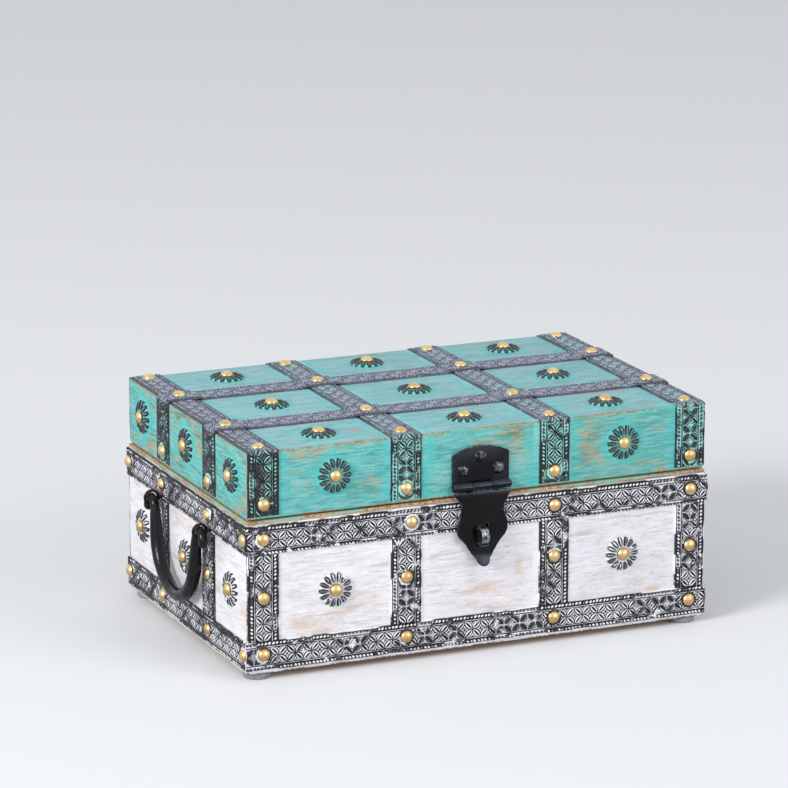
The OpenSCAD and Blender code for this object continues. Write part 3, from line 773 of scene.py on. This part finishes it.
    def motifs(self, ribbon, shift):
        count = max(1, round(ribbon.length / MOTIF_L))
        length = ribbon.length / count
        for i in range(count):
            middle_place = Vector(((i + 0.5) * length, shift))
            for reach in (-0.5, 0.5):
                point = Vector(((i + 0.5 + reach) * length, shift))
                for side in (-1, 1):
                    corner = middle_place + Vector((0, side * FIELD_HALF))
                    self.petal(ribbon, point.lerp(corner, 0.07), point.lerp(corner, 0.94))
            self.star(ribbon, middle_place, (0, 0.5, 1.0, 1.5))
            for side in (-1, 1):
                if i:
                    edge = Vector((i * length, shift + side * 0.92 * FIELD_HALF))
                    self.star(ribbon, edge, (1.0, 1.5, 2.0) if side > 0 else (0.0, 0.5, 1.0))

    def strip(self, ribbon, width, rng, edge_paint, shift=0.0):
        self.plate(ribbon, width, rng, edge_paint)
        for side in (-1, 1):
            self.ridge_line(ribbon, shift + side * (FIELD_HALF + RIDGE_W / 2))
            row = shift + side * (FIELD_HALF + RIDGE_W + BEAD_OUT)
            count = round(ribbon.length / BEAD_PITCH)
            for i in range(count):
                place = (i + rng.uniform(0.4, 0.6)) * ribbon.length / count
                self.bead(ribbon, place, row, side * BEAD_SLANT, rng.random() ** 3)
        self.motifs(ribbon, shift)


def lay_strip(relief, box, outward, upright, rng, shift=0.0):
    """A flat strip on a side of the base, in the box of its CAD solid."""
    foot = middle(box) - outward * abs(size(box).dot(outward)) / 2
    across = UP.cross(outward)
    along = UP if upright else across
    half = along * abs(size(box).dot(along)) / 2
    ribbon = Ribbon([foot - half, foot + half], across if upright else along.cross(outward))
    width = abs(size(box).dot(ribbon.side))
    relief.strip(ribbon, width, rng, BASE_EDGE_PAINT, shift)


def dress_strip(relief, node, metal):
    dress(made_piece(f"embossed_{node}", relief.sheet, [metal], smooth=False), node)


def add_base_strips(metals):
    """metals has the finish of each side."""
    for level, shift in (("top", FLANGE_SHIFT), ("bottom", 0.0)):
        for side, outward in OUTWARD.items():
            node = f"{level}_band_{side}"
            relief = Relief()
            lay_strip(relief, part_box(node), outward, False, random.Random(node), shift)
            dress_strip(relief, node, metals[side])
    for side, outward in OUTWARD.items():
        node = f"base_straps_{side}"
        relief = Relief()
        for box in solids(node):
            lay_strip(relief, box, outward, True, random.Random(node))
        dress_strip(relief, node, metals[side])


def lay_lid_strap(node, path, side, width, seed, metal):
    """A strap bent over the lid along a path."""
    relief = Relief()
    relief.strip(Ribbon(path, side, BEND_R), width, random.Random(seed), LID_EDGE_PAINT)
    dress_strip(relief, node, metal)


def add_lid_straps(full_metal, dull_metal):
    low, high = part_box("lid_top")
    thickness = size(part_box("top_band_back")).y
    strap_boxes = [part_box(f"lid_strap_{i}") for i in (1, 2, 3, 4)]
    for i, box in enumerate(strap_boxes, 1):
        ends = ((low.y, box[0].z), (low.y, high.z), (high.y, high.z), (high.y, box[0].z))
        path = [Vector((middle(box).x, y, z)) for y, z in ends]
        metal = dull_metal if i == 1 else full_metal
        lay_lid_strap(f"lid_strap_{i}", path, Vector((1, 0, 0)), size(box).x, i, metal)
    over = [(low.x, thickness)]
    for box, following in zip(strap_boxes, strap_boxes[1:]):
        over += [(box[1].x + CLIMB_GAP, thickness), (box[1].x + CLIMB_GAP + CLIMB_L, 0)]
        over += [(following[0].x - CLIMB_GAP - CLIMB_L, 0), (following[0].x - CLIMB_GAP, thickness)]
    over.append((high.x, thickness))
    for side in ("front", "back"):
        node = f"lid_cross_strap_{side}"
        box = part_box(node)
        ends = [(x, high.z + lift) for x, lift in over]
        ends = [(low.x, box[0].z), *ends, (high.x, box[0].z)]
        path = [Vector((x, middle(box).y, z)) for x, z in ends]
        lay_lid_strap(node, path, Vector((0, -1, 0)), size(box).y, node, dull_metal)


# Rosettes and nails

def seat_of(box):
    """Where a round fitting sits and which way it faces, from its box."""
    thin = min(range(3), key=lambda axis: size(box)[axis])
    outward = Vector((0, 0, 0))
    outward[thin] = 1 if thin == 2 or middle(box)[thin] > middle(cad_box)[thin] else -1
    foot = middle(box) - outward * size(box)[thin] / 2
    turn = outward.to_track_quat("Z", "Y").to_matrix().to_4x4()
    width = max(size(box))
    return Matrix.Translation(foot) @ turn, width, size(box)[thin]


def add_rosette(relief, seat, width, height):
    """Raised petals with painted grooves between them, on a dome."""
    rim = width / 2
    petal_angle = math.pi / PETALS
    petal_r = rim * math.pi / PETALS
    petal_at = rim - petal_r
    # Across a petal: the groove beside it, its foot, rim, middle, rim and foot
    across = ((-1, 0, 1), (-0.9, 0.05, 0.5), (-0.68, 0.75, 0), (0, 1, 0), (0.68, 0.75, 0), (0.9, 0.05, 0.5))
    # Outwards: the share of the way to the edge, and how much of the petal's height and width it has there
    rings = (
        (0.36, 0.0, 0.3), (0.42, 0.1, 0.4), (0.5, 0.9, 0.6), (0.62, 1.0, 0.85), (0.74, 1.0, 1.0),
        (0.86, 1.0, 1.0), (0.94, 0.95, 0.9), (1.0, 0.7, 0.62),
    )
    rows = []
    for share, full, spread in rings:
        row = []
        for petal in range(PETALS):
            for offset, raised, bare in across:
                lean = petal_angle * offset * (1 if offset == -1 else spread)
                round_tip = math.sqrt(petal_r ** 2 - (petal_at * math.sin(lean)) ** 2)
                reach = petal_at * math.cos(lean) + round_tip
                radius = reach * share
                dome = height * min(1.0, 1 + ROSETTE_RIM - (radius / rim) ** 2)
                lift = raised * full
                sink = GROOVE_DEPTH * (1 - lift)
                turn = 2 * petal_angle * petal + lean
                point = Vector((radius * math.cos(turn), radius * math.sin(turn), max(0.0, dome - sink)))
                ground = max(bare, 1 - 2 * full) if share < PETAL_FOOT else bare
                # A petal's crest is a ridge: painted where brushed, otherwise the lighter rubbed tin, wear
                # and a painted highlight
                row.append(relief.vert(seat @ point, 0.7 * lift if offset == 0 else 0, ground))
        rows.append(row)
    foot = []
    for vert in rows[-1]:
        drop = Vector((0, 0, (seat.inverted() @ vert.co).z))
        foot.append(relief.vert(vert.co - seat.to_3x3() @ drop, 0, vert[relief.ground]))
    relief.close_rings([*rows, foot])
    relief.face(*reversed(rows[0]))


def add_nail(relief, seat, width, height, rng):
    """A hammered dome, pressed a little flat and tilted, with small dents."""
    rings = 5
    height *= NAIL_PRESS
    ball = (width ** 2 / 4 + height ** 2) / (2 * height)
    spread = math.asin(width / 2 / ball)
    tilt = Matrix.Rotation(NAIL_TILT * rng.uniform(-1, 1), 4, "X") @ Matrix.Rotation(
        NAIL_TILT * rng.uniform(-1, 1), 4, "Y")
    place = seat @ tilt
    offset = Vector([rng.uniform(0, 9) for _ in range(3)])
    rows = []
    for i in range(1, rings + 1):
        angle = spread * i / rings
        row = []
        for cos, sin in around(NAIL_SPOKES):
            direction = Vector((math.sin(angle) * cos, math.sin(angle) * sin, math.cos(angle)))
            dent = NAIL_DENT * noise.noise(direction * 3 + offset)
            point = direction * (ball + dent) + Vector((0, 0, height - ball))
            row.append(relief.vert(place @ point, 1 - i / rings))
        rows.append(row)
    tip = relief.vert(place @ Vector((0, 0, height)), 1)
    relief.fan(tip, [*rows[0], rows[0][0]])
    foot = [relief.vert(vert.co - seat.to_3x3() @ Vector((0, 0, NAIL_FOOT))) for vert in rows[-1]]
    relief.close_rings([*rows, foot])


def add_collar(relief, seat, width, rng):
    """The flattened, painted metal round a nail."""
    head_r = width / 2
    profile = (
        (0.9 * head_r, COLLAR_H, 1),
        (head_r + 0.4 * COLLAR_W, COLLAR_H, 1),
        (head_r + COLLAR_W, PLATE_H - RELIEF_H, 0.6),
    )
    rows = []
    for reach, level, ground in profile:
        row = []
        for cos, sin in around(NAIL_SPOKES):
            wander = 1 + COLLAR_WANDER * rng.uniform(-1, 1) * (ground < 1)
            point = Vector((reach * wander * cos, reach * wander * sin, level))
            row.append(relief.vert(seat @ point, 0, ground))
        rows.append(row)
    relief.close_rings(rows)


def outward_piece(name, relief, material):
    """Turns a relief into a smooth object whose faces look outward."""
    bmesh.ops.recalc_face_normals(relief.sheet, faces=relief.sheet.faces)
    return made_piece(name, relief.sheet, [material])


def add_collars(nails, rosettes, strip, material):
    """Collars round the nails that don't sit on a rosette, riding where the strip does."""
    flowers = [middle(box) for box in solids(rosettes)]
    relief = Relief()
    rng = random.Random(nails)
    for box in solids(nails):
        if min((middle(box) - flower).length for flower in flowers) > ON_ROSETTE:
            seat, width, _ = seat_of(box)
            add_collar(relief, seat, width, rng)
    carry(outward_piece(f"{nails}_collars", relief, material), strip)


def add_tacks(material):
    """A small tack near the middle of each outer panel, in the bands of the front and the back."""
    relief = Relief()
    rng = random.Random("tacks")
    spots = [abs(middle(box).x) for box in solids("base_rosettes")]
    reach = max(spot for spot in spots if spot < ON_SIDE * cad_box[1].x)
    for side in ("front", "back"):
        outward = OUTWARD[side]
        for level in ("top", "bottom"):
            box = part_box(f"{level}_band_{side}")
            for x in (-reach, reach):
                place = middle(box) + Vector((x + rng.uniform(-1, 1) * TACK_WANDER, 0, 0))
                half = Vector((TACK_D / 2, TACK_H / 2, TACK_D / 2))
                head = place + outward * (size(box).y / 2 + TACK_H / 2 - TACK_IN)
                add_nail(relief, *seat_of((head - half, head + half)), rng)
    carry(outward_piece("tacks", relief, material), "base_nails")


def add_round_fittings(node, build, material):
    """All the rosettes or nails of a node as one piece. build adds one of them to a relief."""
    relief = Relief()
    for box in solids(node):
        build(relief, *seat_of(box))
    dress(outward_piece(f"shaped_{node}", relief, material), node)


# Boards, plain metal and handles

def add_board(node, group, finishes):
    """A CAD board with its outer edges rounded and worn. finishes names the materials: the paint of each
    side, the inner wood and the edge."""
    low, high = joined_box(group)
    centre = (low + high) / 2
    names = list(finishes)
    sheet = welded(node)
    bmesh.ops.dissolve_limit(
        sheet, angle_limit=math.radians(1), verts=sheet.verts, edges=sheet.edges, delimit=set())

    def planes(point):
        return {
            (axis, bound) for axis in range(3) for bound, corner in enumerate((low, high))
            if abs(point[axis] - corner[axis]) < SAME_PLANE
        }

    outer = [e for e in sheet.edges if len(planes(e.verts[0].co) & planes(e.verts[1].co)) > 1]
    made = bmesh.ops.bevel(
        sheet, geom=outer, offset=BOARD_EDGE, segments=3, profile=0.5, affect="EDGES", clamp_overlap=True)
    rounded = set(made["faces"])
    for face in sheet.faces:
        faces_out = (face.calc_center_median() - centre).dot(face.normal) > 0
        if face in rounded:
            finish = "edge"
        elif not faces_out or face.normal.z < -0.9:
            finish = "inner"
        elif face.normal.z > 0.9:
            finish = "top"
        else:
            finish = max(OUTWARD, key=lambda side: OUTWARD[side].dot(face.normal))
        face.material_index = names.index(finish)
    piece = made_piece(f"board_{node}", sheet, list(finishes.values()))
    keep_sharp(piece)
    dress(piece, node)


def add_softened(node, material, width=METAL_EDGE, segments=2, edge=None):
    """A CAD part with its sharp edges rounded, and in a finish of their own where edge is given: lighter
    worn edges that are also a painted highlight.
    """
    sheet = welded(node)
    bmesh.ops.dissolve_limit(
        sheet, angle_limit=math.radians(0.5), verts=sheet.verts, edges=sheet.edges, delimit=set())
    sharp = [e for e in sheet.edges if len(e.link_faces) == 2 and e.calc_face_angle(0) > SHARP]
    made = bmesh.ops.bevel(
        sheet, geom=sharp, offset=width, segments=segments, profile=0.5, affect="EDGES", clamp_overlap=True)
    if edge:
        for face in made["faces"]:
            face.material_index = 1
    piece = made_piece(f"soft_{node}", sheet, [material, edge] if edge else [material])
    keep_sharp(piece)
    dress(piece, node)


def add_plate(name, low, high, corner, material, like):
    """A thin flat plate on the front, its outline rounded, in a given material and with the body of a CAD
    node.
    """
    sheet = bmesh.new()
    bmesh.ops.create_cube(sheet, size=1)
    for vert in sheet.verts:
        share = vert.co + Vector((0.5, 0.5, 0.5))
        vert.co = Vector([low[i] + share[i] * (high[i] - low[i]) for i in range(3)])
    outline = [e for e in sheet.edges if abs(e.verts[0].co.y - e.verts[1].co.y) > (high.y - low.y) / 2]
    bmesh.ops.bevel(sheet, geom=outline, offset=corner, segments=5, profile=0.5, affect="EDGES")
    carry(made_piece(name, sheet, [material], smooth=False), like)


def add_staple_shade_plate(material):
    """The black plate that the staple stands on, under the strap of the hasp. Its black is also painted
    shade inside the staple's loop.
    """
    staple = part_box("staple")
    wood_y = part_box("base_front_wall")[0].y
    out = STAPLE_SHADE_PLATE_OUT
    low = Vector((staple[0].x - out, wood_y - STAPLE_SHADE_PLATE_H, staple[0].z - out))
    high = Vector((staple[1].x + out, wood_y, staple[1].z + out))
    add_plate("staple_shade_plate", low, high, 0.9 * out, material, "staple")


def add_hasp_shade_sheet(material):
    """A thin black sheet behind the hasp's barrel: painted shade in the gap between the leaves, so that no
    wood shows there.
    """
    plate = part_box("hasp_plate")
    wood_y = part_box("lid_front_wall")[0].y
    barrel_z = middle(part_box("hasp_pin")).z
    low = Vector((plate[0].x + SHADE_SHEET_IN, wood_y - SHADE_SHEET_H, barrel_z - SHADE_SHEET_BELOW))
    high = Vector((plate[1].x - SHADE_SHEET_IN, wood_y, barrel_z + SHADE_SHEET_ABOVE))
    add_plate("hasp_shade_sheet", low, high, SHADE_SHEET_IN, material, "hasp_plate")


def half_bail():
    """Points and bar radii of half a handle from the middle of its grip to the end of its hook: out, up."""
    grip_end = math.radians(90) - ARM_LEAN
    line = []
    for i in range(GRIP_STEPS + 1):
        turn = grip_end * i / GRIP_STEPS
        line.append((GRIP_R * math.sin(turn), -GRIP_R * math.cos(turn), GRIP_BAR_R))
    out, up, _ = line[-1]
    for i in range(1, ARM_STEPS + 1):
        share = i / ARM_STEPS
        line.append((
            out + ARM_L * share * math.sin(ARM_LEAN), up + ARM_L * share * math.cos(ARM_LEAN),
            GRIP_BAR_R + (HOOK_BAR_R - GRIP_BAR_R) * share,
        ))
    out, up, _ = line[-1]
    centre = (out + HOOK_R * math.cos(ARM_LEAN), up - HOOK_R * math.sin(ARM_LEAN))
    for i in range(1, HOOK_STEPS + 1):
        turn = math.pi - ARM_LEAN - math.pi * i / HOOK_STEPS
        line.append((centre[0] + HOOK_R * math.cos(turn), centre[1] + HOOK_R * math.sin(turn), HOOK_BAR_R))
    out, up, _ = line[-1]
    for share in (0.45, 0.8, 0.96):
        line.append((
            out - HOOK_BAR_R * share * math.sin(ARM_LEAN), up - HOOK_BAR_R * share * math.cos(ARM_LEAN),
            HOOK_BAR_R * math.sqrt(1 - share ** 2),
        ))
    return line


def add_wrought_handle(node, material):
    """A swept bar with rounded ends, its surface uneven as from a hammer and thick lacquer."""
    low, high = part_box(node)
    half = half_bail()
    line = [(-out, up, radius) for out, up, radius in reversed(half[1:])] + half
    top = max(up + radius for _, up, radius in half)
    origin = Vector(((low.x + high.x) / 2, (low.y + high.y) / 2, high.z - top))
    points = [origin + Vector((0, out, up)) for out, up, _ in line]
    relief = Relief()
    rows = []
    for i, (point, (_, _, radius)) in enumerate(zip(points, line)):
        heading = (points[min(i + 1, len(points) - 1)] - points[max(i - 1, 0)]).normalized()
        square = heading.cross(Vector((1, 0, 0)))
        row = []
        for cos, sin in around(GRIP_SPOKES):
            direction = Vector((1, 0, 0)) * cos + square * sin
            place = point + direction * radius
            dents = sum(depth * noise.noise(place / wave) for depth, wave in HAMMER_DENTS)
            row.append(relief.vert(point + direction * (radius - HAMMER_IN + dents)))
        rows.append(row)
    relief.close_rings(rows)
    relief.face(*rows[0])
    relief.face(*reversed(rows[-1]))
    dress(outward_piece(f"wrought_{node}", relief, material), node)


# Stage, lights and camera

def add_floor():
    sheet = bmesh.new()
    bmesh.ops.create_circle(sheet, cap_ends=True, segments=96, radius=FLOOR_R)
    floor = made_piece("floor", sheet, [])
    surface = Surface("pale_floor", roughness=0.9)
    seen = surface.node("LightPath").outputs["Is Camera Ray"]
    surface.set("Base Color", surface.mix(seen, tone(222, 223, 227), tone(250, 251, 254)))
    surface.set("Specular IOR Level", 0.1)
    floor.data.materials.append(surface.material)


def add_world():
    """A pale sky, at full strength only where it is seen or mirrored."""
    world = bpy.data.worlds.new("studio")
    world.use_nodes = True
    nodes = Nodes(world.node_tree)
    rays = nodes.node("LightPath").outputs
    seen = nodes.calc("MAXIMUM", rays["Is Camera Ray"], rays["Is Glossy Ray"])
    background = nodes.tree.nodes["Background"].inputs
    nodes.plug(background["Color"], SKY)
    nodes.plug(background["Strength"], nodes.step(seen, 0, 1, AMBIENT, 1.0))
    bpy.context.scene.world = world


def add_lamp(name, place, width, power):
    """A square soft lamp aimed at the chest."""
    light = bpy.data.lights.new(name, "AREA")
    light.shape = "SQUARE"
    light.size = width
    light.energy = power
    lamp = bpy.data.objects.new(name, light)
    lamp.location = place
    lamp.rotation_euler = (middle(cad_box) - place).to_track_quat("-Z", "Y").to_euler()
    bpy.context.scene.collection.objects.link(lamp)


def add_camera():
    turn = Matrix.Rotation(AZIMUTH, 4, "Z") @ Matrix.Rotation(math.radians(90) - ELEVATION, 4, "X")
    back = Matrix.Translation((0, 0, DISTANCE))
    data = bpy.data.cameras.new("photo_camera")
    data.sensor_fit = "HORIZONTAL"
    data.sensor_width = SENSOR_W
    data.lens = FOCAL_LENGTH
    data.clip_end = 50
    camera = bpy.data.objects.new("photo_camera", data)
    camera.matrix_world = Matrix.Translation(TARGET) @ turn @ Matrix.Rotation(ROLL, 4, "Z") @ back
    bpy.context.scene.collection.objects.link(camera)
    bpy.context.scene.camera = camera
    bpy.context.scene.view_settings.view_transform = "Standard"


# The chest

cad_box = joined_box(list(BODIES))
WALLS = [f"{side}_wall" for side in OUTWARD]
BASE_BOARDS = [f"base_{board}" for board in ("floor", *WALLS)]
LID_BOARDS = [f"lid_{board}" for board in ("top", *WALLS)]


def panel_grid(rosettes, walls):
    """A panel's middle and the pitch of the panels on each axis, from the rosettes."""
    spots = [middle(box) for box in solids(rosettes)]
    on_sides = [spot for spot in spots if abs(spot.x) > ON_SIDE * cad_box[1].x]
    across = max(spot.x for spot in spots if spot not in on_sides)
    rows = sorted(spot.y for spot in on_sides)
    centre = (0.0, (rows[0] + rows[-1]) / 2, middle(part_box(walls)).z)
    return centre, (across, (rows[-1] - rows[0]) / 2, 0.0)


def panel_paints(name, rosettes, walls, palette, cover, rim=None, side_grime=0.3):
    """The paint of each upright side. The front's middle panel has no rosette."""
    panels = panel_grid(rosettes, walls)
    side = worn_paint(f"{name}_side_paint", 1, 2, panels, palette, cover, rim, grime=side_grime)
    return {
        "front": worn_paint(f"{name}_front_paint", 0, 2, panels, palette, cover, rim, bare_middle=True),
        "back": worn_paint(f"{name}_back_paint", 0, 2, panels, palette, cover, rim),
        "left": side,
        "right": side,
    }


def base_finishes():
    rim = Rim(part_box("top_band_front")[1].z, tone(128, 186, 170), tone(198, 170, 138), tone(140, 112, 86))
    finishes = panel_paints(
        "base", "base_rosettes", "base_front_wall", WHITEWASH, cover=0.52, rim=rim, side_grime=0.5)
    finishes["edge"] = worn_edge(
        "base_edge", tone(226, 226, 231), tone(206, 190, 172), tone(120, 106, 96), bared=0.3, rim=rim)
    return finishes


def lid_finishes():
    finishes = panel_paints("lid", "lid_rosettes", "lid_strap_1", TURQUOISE, cover=0.5, side_grime=0.8)
    panels = panel_grid("lid_rosettes", "lid_strap_1")
    # The top's paint is made paler as a painted sheen
    finishes["top"] = worn_paint("lid_top_sheen_paint", 0, 1, panels, TOP_SHEEN_TURQUOISE, cover=0.56)
    finishes["edge"] = worn_edge(
        "lid_edge", tone(104, 188, 176), tone(180, 164, 132), tone(140, 130, 104), bared=0.42)
    return finishes


def add_boards():
    long_grain = bare_wood(0)
    short_grain = bare_wood(1)
    for boards, finishes in ((BASE_BOARDS, base_finishes()), (LID_BOARDS, lid_finishes())):
        for board in boards:
            finishes["inner"] = short_grain if "left" in board or "right" in board else long_grain
            finishes.setdefault("top", finishes["inner"])
            add_board(board, boards, finishes)


def add_strips():
    """Strips, and the collars that flatten them round the nails. The sides have less paint left."""
    white = tone(244, 244, 250)
    mint = tone(156, 226, 216)
    # tin: black, and a lighter tone where ridges are rubbed, which is wear and also a painted sheen
    tin = (tone(20, 19, 26), tone(60, 59, 70))
    # Painted sheen on the lid's top: the tin's pale tone and the paler tone of its ridges
    top_sheen = (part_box("lid_top")[1].z, tone(52, 50, 68), tone(186, 188, 212))
    front = embossed_metal("front_metal", white, tin, fill=(-0.25, 0.6), brush=(0.3, 1.05), smear=0.5)
    sides = embossed_metal("side_metal", white, tin, fill=(-0.1, 0.3), brush=(0.4, 0.75), smear=0.4)
    bright = embossed_metal(
        "bright_strap_metal", mint, tin, fill=(0.1, 0.85), brush=(0.15, 0.8), smear=0.4, top_sheen=top_sheen)
    dull = embossed_metal(
        "dull_strap_metal", mint, tin, fill=(-0.1, 0.6), brush=(0.1, 0.6), smear=0.3, top_sheen=top_sheen)
    add_base_strips({"front": front, "back": front, "left": sides, "right": sides})
    add_lid_straps(bright, dull)
    add_collars("base_nails", "base_rosettes", "top_band_front", front)
    add_collars("lid_nails", "lid_rosettes", "lid_strap_1", bright)


def add_rosettes():
    white = tone(238, 238, 242)
    mint = tone(112, 214, 202)
    # tin: black, and a lighter tone on the petals' crests, which is wear and also a painted highlight
    tin = (tone(14, 16, 22), tone(100, 102, 116))
    on_base = embossed_metal("base_rosette_metal", white, tin, fill=(1.4, 1.6), brush=(0.4, 1.1), smear=1.0)
    on_lid = embossed_metal("lid_rosette_metal", mint, tin, fill=(0.9, 1.3), brush=(0, 0.8), smear=0.3)
    add_round_fittings("base_rosettes", add_rosette, on_base)
    add_round_fittings("lid_rosettes", add_rosette, on_lid)


def add_nails():
    brass = aged_brass()
    for node in ("base_nails", "lid_nails"):
        add_round_fittings(node, partial(add_nail, rng=random.Random(node)), brass)
    add_tacks(worn_steel("dull_tack", tone(186, 172, 148), tone(112, 102, 90), roughness=0.5))


def paint_node(node, material):
    """Gives a CAD node that isn't replaced its material."""
    mesh = frame["nodes"][node].data
    mesh.materials.clear()
    mesh.materials.append(material)


def add_hasp():
    # Painted sheen: the bluish grey on what faces up stands in for a reflection
    enamel = black_enamel(
        "hasp_enamel", tone(50, 54, 68), waves=180, depth=0.03 * MM, roughness=(0.1, 0.26))
    # The lighter rounded edges and rims are worn bare steel, and also a painted highlight
    edge = worn_steel("enamel_edge_wear_and_highlight", tone(116, 118, 126), tone(26, 26, 30))
    steel = worn_steel("screw_steel", tone(120, 122, 128), tone(30, 30, 34))
    steel_rim_wear_and_highlight = worn_steel("screw_rim_wear_and_highlight", tone(224, 226, 234), tone(110, 112, 118))
    gunmetal = worn_steel("gunmetal", tone(166, 170, 180), tone(56, 58, 64))
    gunmetal_rim_wear_and_highlight = worn_steel("staple_rim_wear_and_highlight", tone(214, 218, 226), tone(130, 132, 138))
    add_softened("hasp_plate", enamel, edge=edge)
    add_softened("hasp_strap", enamel, edge=edge)
    add_softened("hasp_screws", steel, edge=steel_rim_wear_and_highlight)
    add_softened("staple", gunmetal, edge=gunmetal_rim_wear_and_highlight)
    # Painted shade: a black sheet behind the barrel
    add_hasp_shade_sheet(enamel)
    # A staple plate, black also as painted shade seen through the loop
    add_staple_shade_plate(enamel)
    paint_node("hasp_pin", worn_steel("browned_pin", tone(104, 84, 72), tone(48, 40, 38), roughness=0.4))


def add_handles():
    # The lacquer's painted sheen on what faces up is nearly black
    lacquer = black_enamel(
        "handle_lacquer", tone(16, 16, 20), waves=240, depth=0.5 * MM, gloss=0.3, roughness=(0.06, 0.2))
    # Rust brown on what faces up: rust, and also a painted sheen
    rust_and_sheen = black_enamel("rust_and_sheen_enamel", tone(70, 52, 48), waves=500, depth=0.1 * MM)
    for side in ("left", "right"):
        add_wrought_handle(f"{side}_handle", lacquer)
        paint_node(f"handle_eyes_{side}", rust_and_sheen)


def add_hinges():
    leaf = worn_steel("hinge_brass", tone(176, 146, 96), tone(144, 114, 70), roughness=0.38)
    screw = worn_steel("hinge_screw_brass", tone(192, 164, 112), tone(150, 120, 76), roughness=0.32)
    pin = worn_steel("hinge_pin_brass", tone(150, 122, 78), tone(104, 82, 52), roughness=0.4)
    for body in ("base", "lid"):
        add_softened(f"hinge_leaves_{body}", leaf)
        paint_node(f"hinge_screws_{body}", screw)
    paint_node("hinge_pins", pin)


add_camera()
add_world()
add_lamp("key", KEY_PLACE, KEY_W, KEY_POWER)
add_lamp("fill", FILL_PLACE, FILL_W, FILL_POWER)
add_floor()
add_boards()
add_strips()
add_rosettes()
add_nails()
add_hasp()
add_handles()
add_hinges()
add_softened("base_feet", bumper_plastic(), FOOT_EDGE, segments=3)
